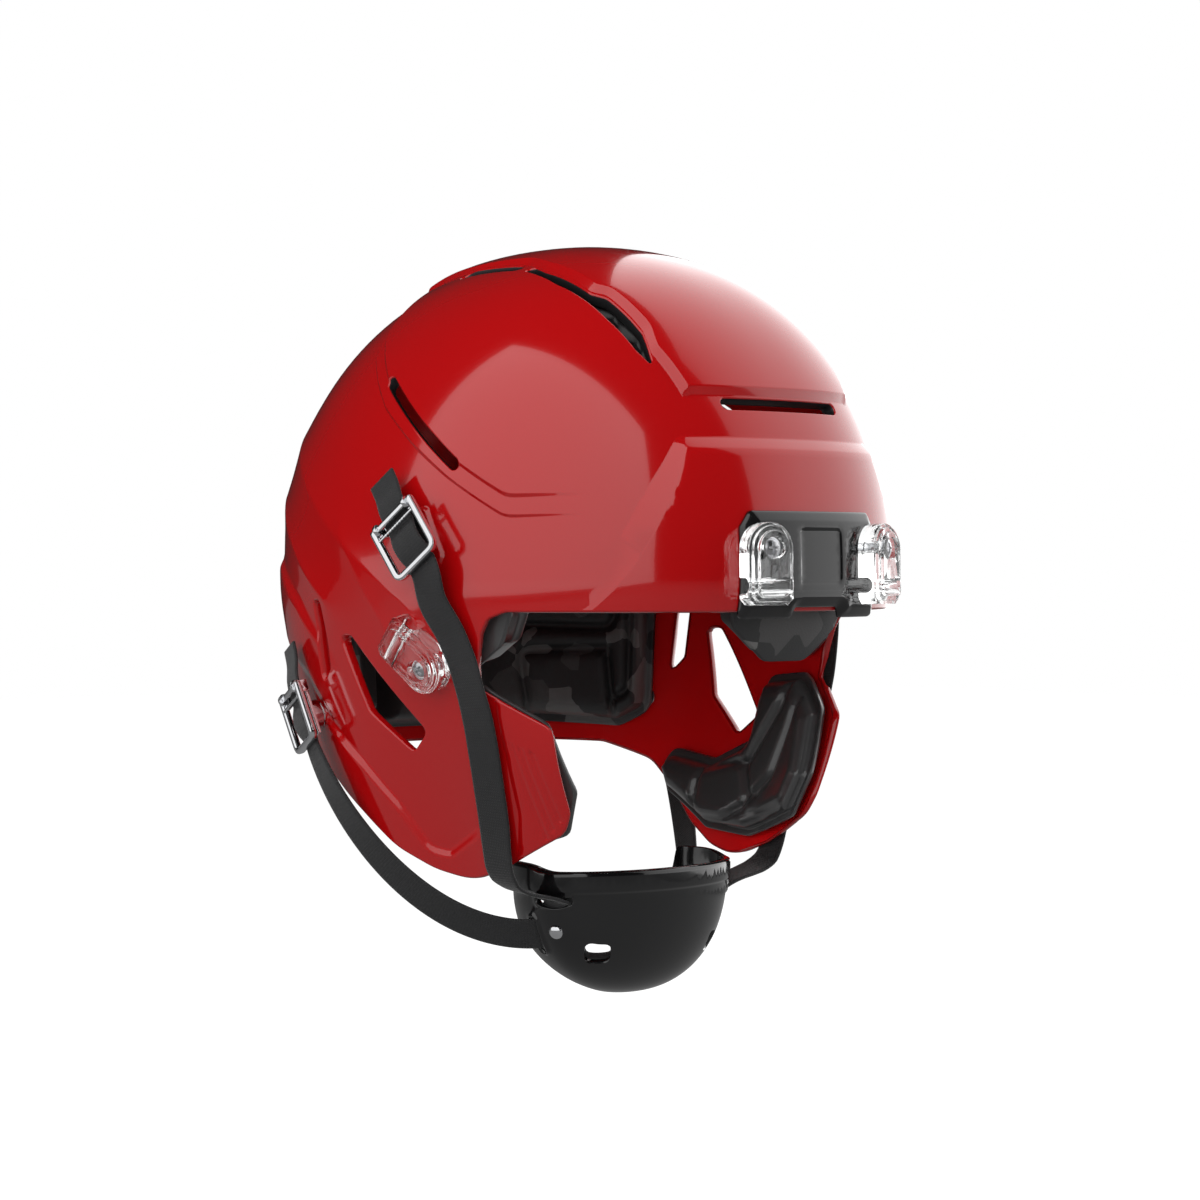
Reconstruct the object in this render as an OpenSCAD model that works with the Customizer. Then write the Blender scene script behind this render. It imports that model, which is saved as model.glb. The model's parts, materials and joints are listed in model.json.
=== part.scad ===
// Football helmet without its face guard: a moulded shell with a raised crown and brow,
// open face, ear openings, clear face guard clips, a four point chin strap and a padded lining.
// Millimetres. +Z is up, the face looks along -Y and the wearer's right is -X.
// The origin is the middle of the head, between the temples at brow height.

/* [Shell] */
// Half width of the shell at the temples
half_w = 120.5; // [112:0.5:128]
// Reach of the forehead in front of the origin
front_len = 134; // [126:1:142]
// Reach of the back of the shell behind the origin
back_len = 147; // [140:1:154]
// Height of the crown above the origin
crown_h = 142; // [134:1:150]
// Roundness of the shell: 2 is an ellipsoid, more is squarer
fullness = 2.2; // [2.1:0.05:2.4]
// How much squarer the shell gets down at the jaw
jaw_fullness = 1.6; // [1.2:0.1:1.8]
// Inward lean of the sides below the temples, at the front
front_lean = 0.38; // [0.34:0.01:0.42]
// Inward lean of the sides below the temples, at the back
rear_lean = 0.26; // [0.22:0.01:0.3]
// Thickness of the shell wall
wall = 3.6; // [3:0.2:4.4]
// Height of the brow edge, below the origin
brow_drop = 15; // [12:1:18]
// Depth of the jaw flaps, below the origin
jaw_drop = 131; // [126:1:136]
// Depth of the nape edge, below the origin
nape_drop = 79; // [74:1:84]
// Inward turn of the front plate of each jaw flap, as a slope
flap_turn = 0.3; // [0.2:0.02:0.36]

/* [Raised panels and vents] */
// Height of the lower step round the dome
dome_step = 0.9; // [0.6:0.1:1.2]
// Height of the upper step round the dome, above the lower one
band_step = 1.1; // [0.8:0.1:1.4]
// Height of the crown panel above the dome
crown_step = 2.4; // [2:0.2:3]
// Height of the brow panel above the dome
brow_step = 2.4; // [2:0.2:3]
// Half width of the crown panel
crown_half_w = 51; // [49:0.5:53]
// Width of the crown vents beside the panel
vent_w = 8; // [7:0.5:9]
// Height of the slot across the front
slot_h = 4; // [3:0.5:5]
// Half length of the slot across the front
slot_half = 33; // [30:1:36]
// Width of the slanted slots in the sides
side_slot_w = 3.6; // [3:0.2:4.4]
// Radius of the corners of the ear openings
ear_r = 3; // [2:0.5:4]

/* [Bumpers] */
// Half width of the front bumper
bumper_half = 41; // [40:0.5:44]
// Thickness of the front bumper
bumper_t = 2.6; // [2.2:0.2:3.4]
// Height of its raised middle above its border
bumper_rise = 1.2; // [0.8:0.2:1.8]
// Thickness of the rear bumper
rear_bumper_t = 3.2; // [2.6:0.2:3.8]

/* [Face guard clips] */
// Radius of the face guard bar that a clip takes
bar_r = 3.2; // [2.8:0.1:3.6]
// Width of a clip, along the bar
clip_w = 22; // [20:0.5:24]
// Length of a clip, across the bar
clip_l = 34; // [32:0.5:36]
// Height of a clip above the shell
clip_h = 10.5; // [10:0.5:12]
// Distance of each front clip from the middle
clip_x = 34; // [32:0.5:36]
// Radius of the clip screws
screw_r = 2; // [1.6:0.1:2.4]
// Radius of the screw heads
head_r = 4.4; // [3.8:0.1:5]

/* [Straps and buckles] */
// Width of the webbing
strap_w = 15; // [13:0.5:16]
// Thickness of the webbing
strap_t = 1.4; // [1.2:0.1:1.8]
// Length of a buckle frame, along the strap
frame_l = 27; // [25:0.5:29]
// Thickness of the bars of a buckle frame
frame_bar = 2.6; // [2.2:0.1:3]
// Radius of the hinge bar of a buckle frame
hinge_r = 1.3; // [1.1:0.1:1.5]
// Radius of the snap studs
stud_r = 3; // [2.6:0.1:3.4]

/* [Chin cup] */
// Half width of the cup
cup_half_w = 55.5; // [53:0.5:58]
// Reach of the cup in front of its middle
cup_reach = 31; // [29:1:34]
// Reach of the cup's round behind its middle, before its back is cut away
cup_back_reach = 49; // [46:1:52]
// Depth of the cup below its rim
cup_depth = 55; // [52:1:58]
// Fullness of the bowl: 2 is an ellipsoid, more is squarer
cup_fullness = 2.3; // [2:0.1:2.6]
// Wall of the cup
cup_wall = 2.4; // [2:0.2:3]
// Thickness of the soft pad in the cup
cup_pad_t = 5; // [4:0.5:6]

/* [Lining] */
// Thickness of the jaw pads
jaw_pad_t = 15; // [13:0.5:17]
// Thickness of the pads at forehead, temples, sides and back
head_pad_t = 20; // [18:0.5:22]
// Thickness of the crown pad
crown_pad_t = 19; // [17:0.5:21]
// Thickness of the lattice under the crown vents
lattice_t = 3; // [2.4:0.2:3.6]
// Thickness of the fastening patches behind the pads
patch_t = 1.2; // [1:0.1:1.4]

/* [Hidden] */

red = [0.66, 0.03, 0.03];
black = [0.09, 0.09, 0.1];
charcoal = [0.16, 0.16, 0.17];
chrome = [0.8, 0.81, 0.83];
clear = [0.85, 0.88, 0.9, 0.6];

gap = 0.3;           // clearance between pieces that don't touch
lean_round = 30;     // radius over which the lean starts below the temples
jaw_start = 20;      // depth at which the shell starts to get squarer
jaw_span = 70;       // depth over which it does
rear_round = 0.85;   // share of that squareness lost towards the back
floor_z = -150;      // depth of the uncut dome
dome_top = dome_step + band_step;
crown_top = dome_top + crown_step;
brow_top = dome_top + brow_step;

// Eases from 0 to 1 while t goes from 0 to 1.
function smooth(t) = let (c = min(1, max(0, t))) c * c * (3 - 2 * c);

// Lean of the side at the bearing a, which is 0 at the face and 90 at the wearer's left.
function rearward(a) = smooth(0.3 - cos(a));
function lean(a) = front_lean + (rear_lean - front_lean) * rearward(a);

// Plan size at height z, as a share of the size at the temples.
function share(z, a, off) = z > 0
    ? pow(max(0, 1 - pow(z / (crown_h + off), fullness)), 1 / fullness)
    : 1 - lean(a) / half_w * (sqrt(z * z + lean_round * lean_round) - lean_round);
function power(z, a) = fullness
    + jaw_fullness * (1 - rear_round * rearward(a)) * smooth((-z - jaw_start) / jaw_span);
function reach(y, off) = (y < 0 ? front_len : back_len) + off;

// The crease of the jaw flap, and how far its front plate turns in past it.
function crease_y(z) = -47 + (-47 - z) * 0.16;
function turned(p) = let (turn = flap_turn * max(0, crease_y(p[2]) - p[1]) * smooth((-p[2] - 38) / 14))
    [p[0] - sign(p[0]) * turn, p[1], p[2]];

// A point of the skin, grown by off: by bearing and height, by side view, front view or plan.
function skin(a, z, off) =
    let (p = power(z, a), b = reach(-cos(a), off), s = share(z, a, off),
         r = s * pow(pow(abs(sin(a)) / (half_w + off), p) + pow(abs(cos(a)) / b, p), -1 / p))
    turned([r * sin(a), -r * cos(a), z]);
function side_x(y, z, off, tries, x) = tries == 0 ? x :
    let (a = atan2(x, -y), p = power(z, a), s = share(z, a, off), q = abs(y) / (reach(y, off) * s))
    side_x(y, z, off, tries - 1, (half_w + off) * s * pow(max(0, 1 - pow(q, p)), 1 / p));
function side_pt(y, z, off) = turned([side_x(y, z, off, 6, half_w), y, z]);
function front_y(x, z, off, tries, y) = tries == 0 ? y :
    let (a = atan2(abs(x), -y), p = power(z, a), s = share(z, a, off), q = abs(x) / ((half_w + off) * s))
    front_y(x, z, off, tries - 1, sign(y) * reach(y, off) * s * pow(max(0, 1 - pow(q, p)), 1 / p));
function front_pt(x, z, off) = [x, front_y(x, z, off, 6, -front_len), z];
function back_pt(x, z, off) = [x, front_y(x, z, off, 6, back_len), z];
function top_pt(x, y, off) = [x, y, (crown_h + off) * pow(max(0, 1 - pow(abs(x) / (half_w + off), fullness)
    - pow(abs(y) / reach(y, off), fullness)), 1 / fullness)];

// Directions in which the skin faces.
function unit(v) = v / norm(v);
function side_n(y, z, off) = unit(cross(side_pt(y, z + 1, off) - side_pt(y, z - 1, off),
    side_pt(y - 1, z, off) - side_pt(y + 1, z, off)));
function front_n(x, z, off) = unit(cross(front_pt(x + 1, z, off) - front_pt(x - 1, z, off),
    front_pt(x, z + 1, off) - front_pt(x, z - 1, off)));
function skin_n(a, z, off) = unit(cross(skin(a + 1, z, off) - skin(a - 1, z, off),
    skin(a, z + 1, off) - skin(a, z - 1, off)));
function back_n(x, z, off) = unit(cross(back_pt(x - 1, z, off) - back_pt(x + 1, z, off),
    back_pt(x, z + 1, off) - back_pt(x, z - 1, off)));

// Sets children on a point, with their Z along n and their Y as near as it gets to up.
module set_on(p, n, up)
    let (x = unit(cross(up, n)), y = cross(n, x))
    multmatrix([[x[0], y[0], n[0], p[0]], [x[1], y[1], n[1], p[1]], [x[2], y[2], n[2], p[2]]]) children();

module both_sides() {
    children();
    mirror([1, 0, 0]) children();
}

// Prisms through the helmet: an outline in the side view, or one in the front view.
module side_prism(half = 170) rotate([90, 0, 90]) linear_extrude(2 * half, center = true) children();
module front_prism(depth = 190) rotate([90, 0, 0]) linear_extrude(depth) children();

// Closed solid between two grids of points, near and far, of nu by nv cells.
module sheet_solid(near, far, nu, nv) {
    w = nu + 1;
    n = w * (nv + 1);
    function cell(a, b, c, d) = [[a, b, c], [a, c, d]];
    faces = concat(
        [for (j = [0:nv - 1], i = [0:nu - 1]) let (k = j * w + i) each cell(k, k + 1, k + w + 1, k + w)],
        [for (j = [0:nv - 1], i = [0:nu - 1]) let (k = n + j * w + i) each cell(k, k + w, k + w + 1, k + 1)],
        [for (i = [0:nu - 1], f = cell(i, n + i, n + i + 1, i + 1)) f],
        [for (i = [0:nu - 1], f = cell(nv * w + i + 1, n + nv * w + i + 1, n + nv * w + i, nv * w + i)) f],
        [for (j = [0:nv - 1], f = cell((j + 1) * w, n + (j + 1) * w, n + j * w, j * w)) f],
        [for (j = [0:nv - 1], f = cell(j * w + nu, n + j * w + nu, n + (j + 1) * w + nu, (j + 1) * w + nu)) f]);
    polyhedron(concat(near, far), faces, convexity = 6);
}

// The whole dome as a solid, grown by off, with a pole at the crown.
module dome(off, cols = 72, low_rows = 11, high_rows = 13) {
    heights = concat([for (i = [0:low_rows - 1]) floor_z * (1 - i / low_rows)],
        [for (i = [0:high_rows - 1]) (crown_h + off) * pow(sin(90 * i / high_rows), 2 / fullness)]);
    rows = len(heights);
    pole = rows * cols;
    polyhedron(
        concat([for (z = heights, i = [0:cols - 1]) skin(360 * i / cols, z, off)],
            [[0, 0, crown_h + off], [0, 0, floor_z]]),
        concat(
            [for (j = [0:rows - 2], i = [0:cols - 1]) let (k = (i + 1) % cols)
                each [[j * cols + i, (j + 1) * cols + i, (j + 1) * cols + k],
                      [j * cols + i, (j + 1) * cols + k, j * cols + k]]],
            [for (i = [0:cols - 1]) let (k = (i + 1) % cols)
                [(rows - 1) * cols + i, pole, (rows - 1) * cols + k]],
            [for (i = [0:cols - 1]) let (k = (i + 1) % cols) [i, k, pole + 1]]),
        convexity = 4);
}

// Outlines in the side view, as [y, z].
function dome_line(up) = [[-170, 29 + up], [-64, 28 + up], [-36, 44 + up], [-12, 59 + up], [12, 75 + up],
    [40, 100 + up], [50, 150 + crown_h], [-170, 150 + crown_h]];
rim = [[-200, -brow_drop], [-64, -brow_drop], [-56, -brow_drop - 3], [-52, -brow_drop - 9], [-49, -36],
    [-48, -47], [-73, -63], [-70.5, -jaw_drop + 32], [-66, -jaw_drop + 23], [-38, -jaw_drop + 8],
    [-16, -jaw_drop], [4, -jaw_drop + 4], [23, -jaw_drop + 13], [39, -jaw_drop + 27],
    [56, -nape_drop - 11], [82, -nape_drop - 3], [200, -nape_drop],
    [200, 2 * floor_z], [-200, 2 * floor_z]];
ear = [[33, -26], [25, -26], [-11, -66], [0, -75], [22, -58]];
slit = [[52, -11], [45.5, -11], [45.5, -40], [52, -47]];
bar_line = [[170, 8], [100, 8], [67, -11], [33, -43], [2, -84], [-8, -108], [4, -112], [41, -72], [67, -45],
    [110, -30], [170, -30]];
side_slot = [[13, 82], [-38, 46]];

// Outlines in the front view, as [x, z].
brow_panel = [[-56, 58], [56, 58], [73, 19], [73, -40], [-73, -40], [-73, 19]];
slot_z = 71.5;

// Outlines in the plan, as [x, y]: one half of the crown panel and the crown vents beside it.
crown_edge = [[0, -170], [crown_half_w, -170], [crown_half_w, -112], [crown_half_w + 4, -95],
    [crown_half_w + 1, -88],
    [crown_half_w + 1, -66], [crown_half_w + 4, -60], [crown_half_w + 1, -28], [crown_half_w - 3, -12],
    [crown_half_w - 1, 20], [crown_half_w - 8, 62], [30, 79], [0, 84]];
crown_front_z = slot_z + slot_h / 2 + 1;
front_vent = [[crown_half_w + 5, -33], [crown_half_w + 8, -62], [crown_half_w + 6, -91]];
rear_vent = [[crown_half_w + 1, -8], [crown_half_w + 1, 24]];

// Places of the fasteners: point on the skin, way it faces, and up.
front_clip_z = 5;
clip_tip = clip_w / 2;
screw_off = 6.5;       // from the middle of a clip to its screw
bar_off = 9;           // from the middle of a clip to its bar
side_clip_at = [-20, -33];
side_clip_up = [0, -0.72, -0.69];
snap_at = [-25, 14.5];
strap_up = unit([0, 0.62, 0.78]);
rear_snap_at = [62, -61];
rear_up = unit([0.1, 0.42, 0.9]);
brow_off = brow_top + bumper_t + bumper_rise;
head_z = clip_h - 4 + gap;   // underside of a clip screw's head, above the clip's base
nut_t = 1.2;
nut_r = 4.8;
patch_r = 6;
inner_gap = 1;       // clearance of flat things to the wall's curved inner face
nut_reach = inner_gap + nut_t;
rear_screw_at = [38, -58];   // x and z of the rear bumper's screws

function front_clip_pt(off) = front_pt(clip_x, front_clip_z, off);
function side_clip_pt(off) = side_pt(side_clip_at[0], side_clip_at[1], off);
function snap_pt(off) = side_pt(snap_at[0], snap_at[1], off);
function rear_snap_pt(off) = side_pt(rear_snap_at[0], rear_snap_at[1], off);
function rear_screw_pt(off) = back_pt(rear_screw_at[0], rear_screw_at[1], off);
front_clip_n = front_n(clip_x, front_clip_z, brow_off);
side_clip_n = side_n(side_clip_at[0], side_clip_at[1], 0);
snap_n = side_n(snap_at[0], snap_at[1], 0);
rear_snap_n = side_n(rear_snap_at[0], rear_snap_at[1], 0);
rear_screw_n = back_n(rear_screw_at[0], rear_screw_at[1], 0);

// How far the wall's inner face lies below each place.
front_clip_depth = (front_clip_pt(brow_off) - front_clip_pt(-wall)) * front_clip_n;
side_clip_depth = (side_clip_pt(gap) - side_clip_pt(-wall)) * side_clip_n;
snap_depth = (snap_pt(0) - snap_pt(-wall)) * snap_n + gap;
// The wall curves in here.
rear_snap_depth = (rear_snap_pt(0) - rear_snap_pt(-wall)) * rear_snap_n + 2 * gap;
rear_screw_depth = (rear_screw_pt(rear_bumper_t + gap) - rear_screw_pt(-wall)) * rear_screw_n;

module on_front_clip() set_on(front_clip_pt(brow_off), front_clip_n, [0, 0, 1]) children();
module on_side_clip() set_on(side_clip_pt(gap), side_clip_n, side_clip_up) children();
module on_snap() set_on(snap_pt(0), snap_n, strap_up) children();
module on_rear_snap() set_on(rear_snap_pt(0), rear_snap_n, rear_up) children();
module on_rear_screw() set_on(rear_screw_pt(rear_bumper_t + gap), rear_screw_n, [0, 0, 1]) children();

// Clearance holes through wall, bumper and panels for every fastener.
module fastener_holes() both_sides() {
    on_front_clip() translate([0, screw_off, -30]) cylinder(r = screw_r + gap / 2, h = 31, $fn = 16);
    on_side_clip() translate([0, screw_off, -12]) cylinder(r = screw_r + gap / 2, h = 14, $fn = 16);
    on_snap() translate([0, 0, -8]) cylinder(r = screw_r + gap / 2, h = 12, $fn = 16);
    on_rear_snap() translate([0, 0, -8]) cylinder(r = screw_r + gap / 2, h = 12, $fn = 16);
    on_rear_screw() translate([0, 0, -12]) cylinder(r = screw_r + gap / 2, h = 13, $fn = 16);
}

module shell() color(red) difference() {
    union() {
        dome(0);
        intersection() {
            dome(dome_step);
            side_prism() polygon(dome_line(-4));
        }
        intersection() {
            dome(dome_top);
            side_prism() polygon(dome_line(4));
        }
        intersection() {
            dome(crown_top);
            translate([0, 0, crown_front_z]) linear_extrude(crown_h) {
                polygon(crown_edge);
                mirror([1, 0]) polygon(crown_edge);
            }
        }
        intersection() {
            dome(brow_top);
            front_prism() polygon(brow_panel);
        }
        intersection() {
            dome(dome_step + band_step);
            side_prism() polygon(bar_line);
        }
    }
    dome(-wall, 48, 8, 9);
    side_prism() offset(r = 3) offset(delta = -3) offset(r = -2) offset(delta = 2) polygon(rim);
    side_prism() offset(r = ear_r) offset(delta = -ear_r) polygon(ear);
    side_prism() offset(r = 1.5) offset(delta = -1.5) polygon(slit);
    hull() for (x = [-slot_half, slot_half])
        translate([x, -80, slot_z]) rotate([90, 0, 0]) cylinder(d = slot_h, h = 80, $fn = 16);
    both_sides() {
        hull() for (p = side_slot)
            translate([70, p[0], p[1]]) rotate([0, 90, 0]) cylinder(d = side_slot_w, h = 80, $fn = 12);
        hull() for (p = rear_vent) translate([p[0], p[1], 60]) cylinder(d = vent_w - 2, h = 100, $fn = 12);
        for (i = [0, 1]) hull() for (k = [i, i + 1])
            translate([front_vent[k][0], front_vent[k][1], 60])
                cylinder(d = vent_w - (k == 1 ? 0 : 3), h = 100, $fn = 12);
    }
    fastener_holes();
}

// Front bumper, hooked under the brow edge by a tab at each side.
bumper_edge = [[-bumper_half, -brow_drop - 2.5], [-15, -brow_drop - 2.5], [-13, -brow_drop + 2],
    [13, -brow_drop + 2], [15, -brow_drop - 2.5], [bumper_half, -brow_drop - 2.5], [bumper_half, 20],
    [bumper_half - 5, 27], [-bumper_half + 5, 27], [-bumper_half, 20]];
module front_bumper() color(black) difference() {
    union() {
        intersection() {
            dome(brow_top + bumper_t);
            front_prism() polygon(bumper_edge);
        }
        intersection() {
            dome(brow_off - gap);
            front_prism() offset(delta = -4) polygon(bumper_edge);
        }
    }
    dome(brow_top + gap);
    fastener_holes();
}

// Rear bumper: a curved plate across the nape, under the back of the shell.
rear_bumper_edge = [[-62, -38], [62, -38], [54, -nape_drop + 3], [-54, -nape_drop + 3]];
module rear_bumper() color(black) difference() {
    intersection() {
        dome(rear_bumper_t + gap);
        translate([0, 60, 0]) rotate([90, 0, 180]) linear_extrude(120)
            offset(r = 4) offset(delta = -4) polygon(rear_bumper_edge);
    }
    dome(gap);
    fastener_holes();
}

module round_screw(h, head) {
    translate([0, 0, -h]) cylinder(r = screw_r, h = h, $fn = 24);
    difference() {
        intersection() {
            translate([0, 0, head - 7]) sphere(r = 7, $fn = 32);
            cylinder(r = head_r, h = head, $fn = 32);
        }
        for (a = [0, 90]) rotate(a) translate([0, 0, head]) cube([head_r, 0.9, 1.8], center = true);
    }
}

module rear_bumper_screws() color(chrome) both_sides() on_rear_screw() translate([0, 0, gap])
    round_screw(gap + rear_screw_depth + nut_reach, 2);

// A clear clip: a thick tab whose open channel clamps the bar, with a counterbore for the screw.
clip_shoulder = 3;     // height of the stepped top of a clip
clip_step_h = 1.6;     // height of its first step
clip_step_in = 1.4;    // how far its first step draws in
clip_top_in = 3.4;     // and its second
clip_tail_r = 1.25;    // roundness of its square end, in half widths
module clip_outline(in) {
    r = clip_tip - in;
    translate([0, clip_l / 2 - clip_tip]) circle(r = r, $fn = 40);
    translate([0, -clip_l / 2 + clip_tip]) intersection() {
        square(2 * r, center = true);
        circle(r = r * clip_tail_r, $fn = 40);
    }
    square([2 * r, clip_l - clip_w], center = true);
}
module clip() color(clear) difference() {
    union() {
        linear_extrude(clip_h - clip_shoulder) clip_outline(0);
        translate([0, 0, clip_h - clip_shoulder]) linear_extrude(clip_step_h) clip_outline(clip_step_in);
        translate([0, 0, clip_h - clip_shoulder + clip_step_h])
            linear_extrude(clip_shoulder - clip_step_h) clip_outline(clip_top_in);
    }
    translate([0, -bar_off, bar_r + gap]) rotate([0, 90, 0])
        cylinder(r = bar_r, h = clip_w + 2, center = true, $fn = 48);
    translate([-clip_w, -bar_off - bar_r, -1]) cube([2 * clip_w, 2 * bar_r, bar_r + gap + 1]);
    translate([0, screw_off, -1]) cylinder(r = screw_r + gap, h = clip_h + 2, $fn = 32);
    translate([0, screw_off, head_z - gap]) cylinder(r = head_r + gap, h = clip_h, $fn = 40);
}
module front_clip_left() on_front_clip() clip();
module front_clip_right() mirror([1, 0, 0]) front_clip_left();
module side_clip_left() on_side_clip() clip();
module side_clip_right() mirror([1, 0, 0]) side_clip_left();

module clip_screws() color(chrome) both_sides() {
    on_front_clip() translate([0, screw_off, head_z]) round_screw(head_z + front_clip_depth + nut_reach, 2.6);
    on_side_clip() translate([0, screw_off, head_z]) round_screw(head_z + side_clip_depth + nut_reach, 2.6);
}

// A thin flanged nut inside the wall; depth is how far the wall's inner face lies below the place.
module flange_nut(depth) translate([0, 0, -depth - nut_reach]) difference() {
    cylinder(r = nut_r, h = nut_t, $fn = 32);
    translate([0, 0, -1]) cylinder(r = screw_r + 0.1, h = nut_t + 2, $fn = 24);
}
module clip_nuts() color(chrome) both_sides() {
    on_front_clip() translate([0, screw_off, 0]) flange_nut(front_clip_depth);
    on_side_clip() translate([0, screw_off, 0]) flange_nut(side_clip_depth);
    on_rear_screw() flange_nut(rear_screw_depth);
}

// Snap studs: two upper and two lower ones hold the chin strap's buckles.
stud_h = 3.4;
stud_foot_r = 6;
stud_foot_t = 1;
stud_head_t = 1.4;
stud_neck = 0.4;       // how much thinner the stud's neck is than its head
module stud(depth) {
    cylinder(r = stud_foot_r, h = stud_foot_t, $fn = 32);
    cylinder(r = stud_r - stud_neck, h = stud_h - stud_head_t + 0.6, $fn = 32);
    translate([0, 0, stud_h - stud_head_t]) cylinder(r = stud_r, h = stud_head_t, $fn = 32);
    translate([0, 0, -gap - depth - nut_reach])
        cylinder(r = screw_r, h = gap + depth + nut_reach + 0.5, $fn = 24);
}
module snap_studs() color(chrome) both_sides() {
    on_snap() translate([0, 0, gap]) stud(snap_depth);
    on_rear_snap() translate([0, 0, gap]) stud(rear_snap_depth);
}
module snap_stud_nuts() color(chrome) both_sides() {
    on_snap() flange_nut(snap_depth);
    on_rear_snap() flange_nut(rear_snap_depth);
}

// Buckle base: snap cap, plate and two ears that carry the frame's hinge bar.
cap_top = stud_h + 2.6;
plate_t = 1.6;
ear_x = strap_w / 2 + 1.2;     // inner face of each ear
ear_t = 1.8;
ear_w = 5.4;
ear_round = 2.7;
cap_r = 6.6;
hinge_y = frame_l / 2 - hinge_r;
strap_z = cap_top + plate_t + gap + strap_t / 2;
bar_half = hinge_r + 0.3;
hinge_z = strap_z + strap_t / 2 + gap + bar_half;
module buckle_base() color(chrome) difference() {
    union() {
        translate([0, 0, stud_foot_t + 2 * gap])
            cylinder(r = cap_r, h = cap_top - stud_foot_t - gap, $fn = 40);
        translate([0, 0, cap_top + plate_t / 2]) cube([2 * ear_x, frame_l - 6, plate_t], center = true);
        translate([-ear_x - ear_t, hinge_y - 0.7 - ear_w / 2, cap_top])
            cube([2 * (ear_x + ear_t), ear_w, plate_t]);
        for (s = [-1, 1]) translate([s * (ear_x + ear_t / 2), 0, 0]) {
            translate([0, hinge_y - 0.7, (cap_top + hinge_z) / 2])
                cube([ear_t, ear_w, hinge_z - cap_top], center = true);
            translate([0, hinge_y, hinge_z]) rotate([0, 90, 0])
                cylinder(r = ear_round, h = ear_t, center = true, $fn = 32);
        }
    }
    translate([0, 0, gap]) cylinder(r = stud_r + gap, h = stud_h + 2 * gap, $fn = 40);
    translate([0, hinge_y, hinge_z]) rotate([0, 90, 0])
        cylinder(r = hinge_r + 0.15, h = 4 * ear_x, center = true, $fn = 32);
}

// Buckle frame: hinge bar through the ears, side bars outside them, end bar and toothed inner bar.
module buckle_frame() color(chrome) {
    side_in = ear_x + ear_t + gap;
    translate([0, hinge_y, hinge_z]) rotate([0, 90, 0])
        cylinder(r = hinge_r, h = 2 * side_in + 2 * frame_bar, center = true, $fn = 32);
    for (s = [-1, 1]) translate([s * (side_in + frame_bar / 2), 0, hinge_z])
        cube([frame_bar, frame_l, 2 * bar_half], center = true);
    translate([0, -frame_l / 2 + frame_bar / 2, hinge_z])
        cube([2 * side_in + 2 * frame_bar, frame_bar, 2 * bar_half], center = true);
    translate([0, hinge_y - 5, hinge_z + 0.6]) difference() {
        cube([2 * side_in + frame_bar, 2, 2], center = true);
        for (i = [-4:4]) translate([i * 1.6, -1, 0]) cylinder(r = 0.45, h = 3, center = true, $fn = 16);
    }
}
module upper_buckle_base_left() on_snap() buckle_base();
module upper_buckle_base_right() mirror([1, 0, 0]) upper_buckle_base_left();
module upper_buckle_frame_left() on_snap() buckle_frame();
module upper_buckle_frame_right() mirror([1, 0, 0]) upper_buckle_frame_left();
module lower_buckle_base_left() on_rear_snap() buckle_base();
module lower_buckle_base_right() mirror([1, 0, 0]) lower_buckle_base_left();
module lower_buckle_frame_left() on_rear_snap() buckle_frame();
module lower_buckle_frame_right() mirror([1, 0, 0]) lower_buckle_frame_left();

// Webbing: a flat band along points, each with the way its face looks.
module webbing(route) {
    n = len(route);
    rings = [for (i = [0:n - 1])
        let (t = unit(route[min(i + 1, n - 1)][0] - route[max(i - 1, 0)][0]),
             w = unit(cross(t, route[i][1])) * strap_w / 2, h = cross(w, t) * strap_t / strap_w,
             p = route[i][0])
        each [p - w - h, p + w - h, p + w + h, p - w + h]];
    polyhedron(rings, concat([[3, 2, 1, 0]],
        [for (i = [0:n - 2], k = [0:3]) let (a = 4 * i + k, b = 4 * i + (k + 1) % 4)
            each [[a, b + 4, a + 4], [a, b, b + 4]]],
        [[4 * n - 4, 4 * n - 3, 4 * n - 2, 4 * n - 1]]));
}
function bezier(a, b, c, d, t) =
    a * pow(1 - t, 3) + 3 * b * t * pow(1 - t, 2) + 3 * c * t * t * (1 - t) + d * pow(t, 3);

// The strap's way through a buckle, as [distance up the strap, height]: from the tail, under the
// hinge bar and in a low hump over the toothed bar.
tail_way = [[33, 4.6], [26, 5.6], [19, strap_z - 0.8], [hinge_y, strap_z], [7, strap_z], [3, strap_z + 1.6],
    [-2, strap_z + 2.3], [-7, strap_z + 1.2], [-9.5, strap_z], [-14, strap_z]];
function along(p, n, up, way) = let (x = unit(cross(up, n)), y = cross(n, x))
    [for (q = way) [p + y * q[0] + n * q[1], n]];

// Upper strap on the left: past the buckle, down over the jaw flap, then in to the cup's upper slot.
strap_line = [[-36.5, -11, 4.8], [-41, -24, 3], [-43.5, -36, 1.9], [-44.5, -47, 1.5], [-45, -60, 1.4],
    [-43.5, -75, 1.4], [-41, -jaw_drop + 41, 1.4], [-38.5, -jaw_drop + 27, 1.6], [-36, -jaw_drop + 15, 2.2],
    [-35, -jaw_drop + 6, 3.2]];
upper_slot = [-34, 10];    // y of the cup's upper slot, and its depth below the rim
lower_slot = [-22, 26];
cup_y = -26;
rim_z = -jaw_drop + 1;
function cup_len(ahead) = ahead > 0 ? cup_reach : cup_back_reach;
function cup_share(drop, off) =
    pow(max(0, 1 - pow(max(0, drop) / (cup_depth + off), cup_fullness)), 1 / cup_fullness);
function cup_pt(a, z, off) = let (c = cup_share(rim_z - z, off))
    [(cup_half_w + off) * c * sin(a), cup_y - (cup_len(cos(a)) + off) * c * cos(a), z];
function cup_at(y, drop, off) = cup_pt(acos((cup_y - y) / ((cup_len(cup_y - y) + off) * cup_share(drop, off))),
    rim_z - drop, off);
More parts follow.
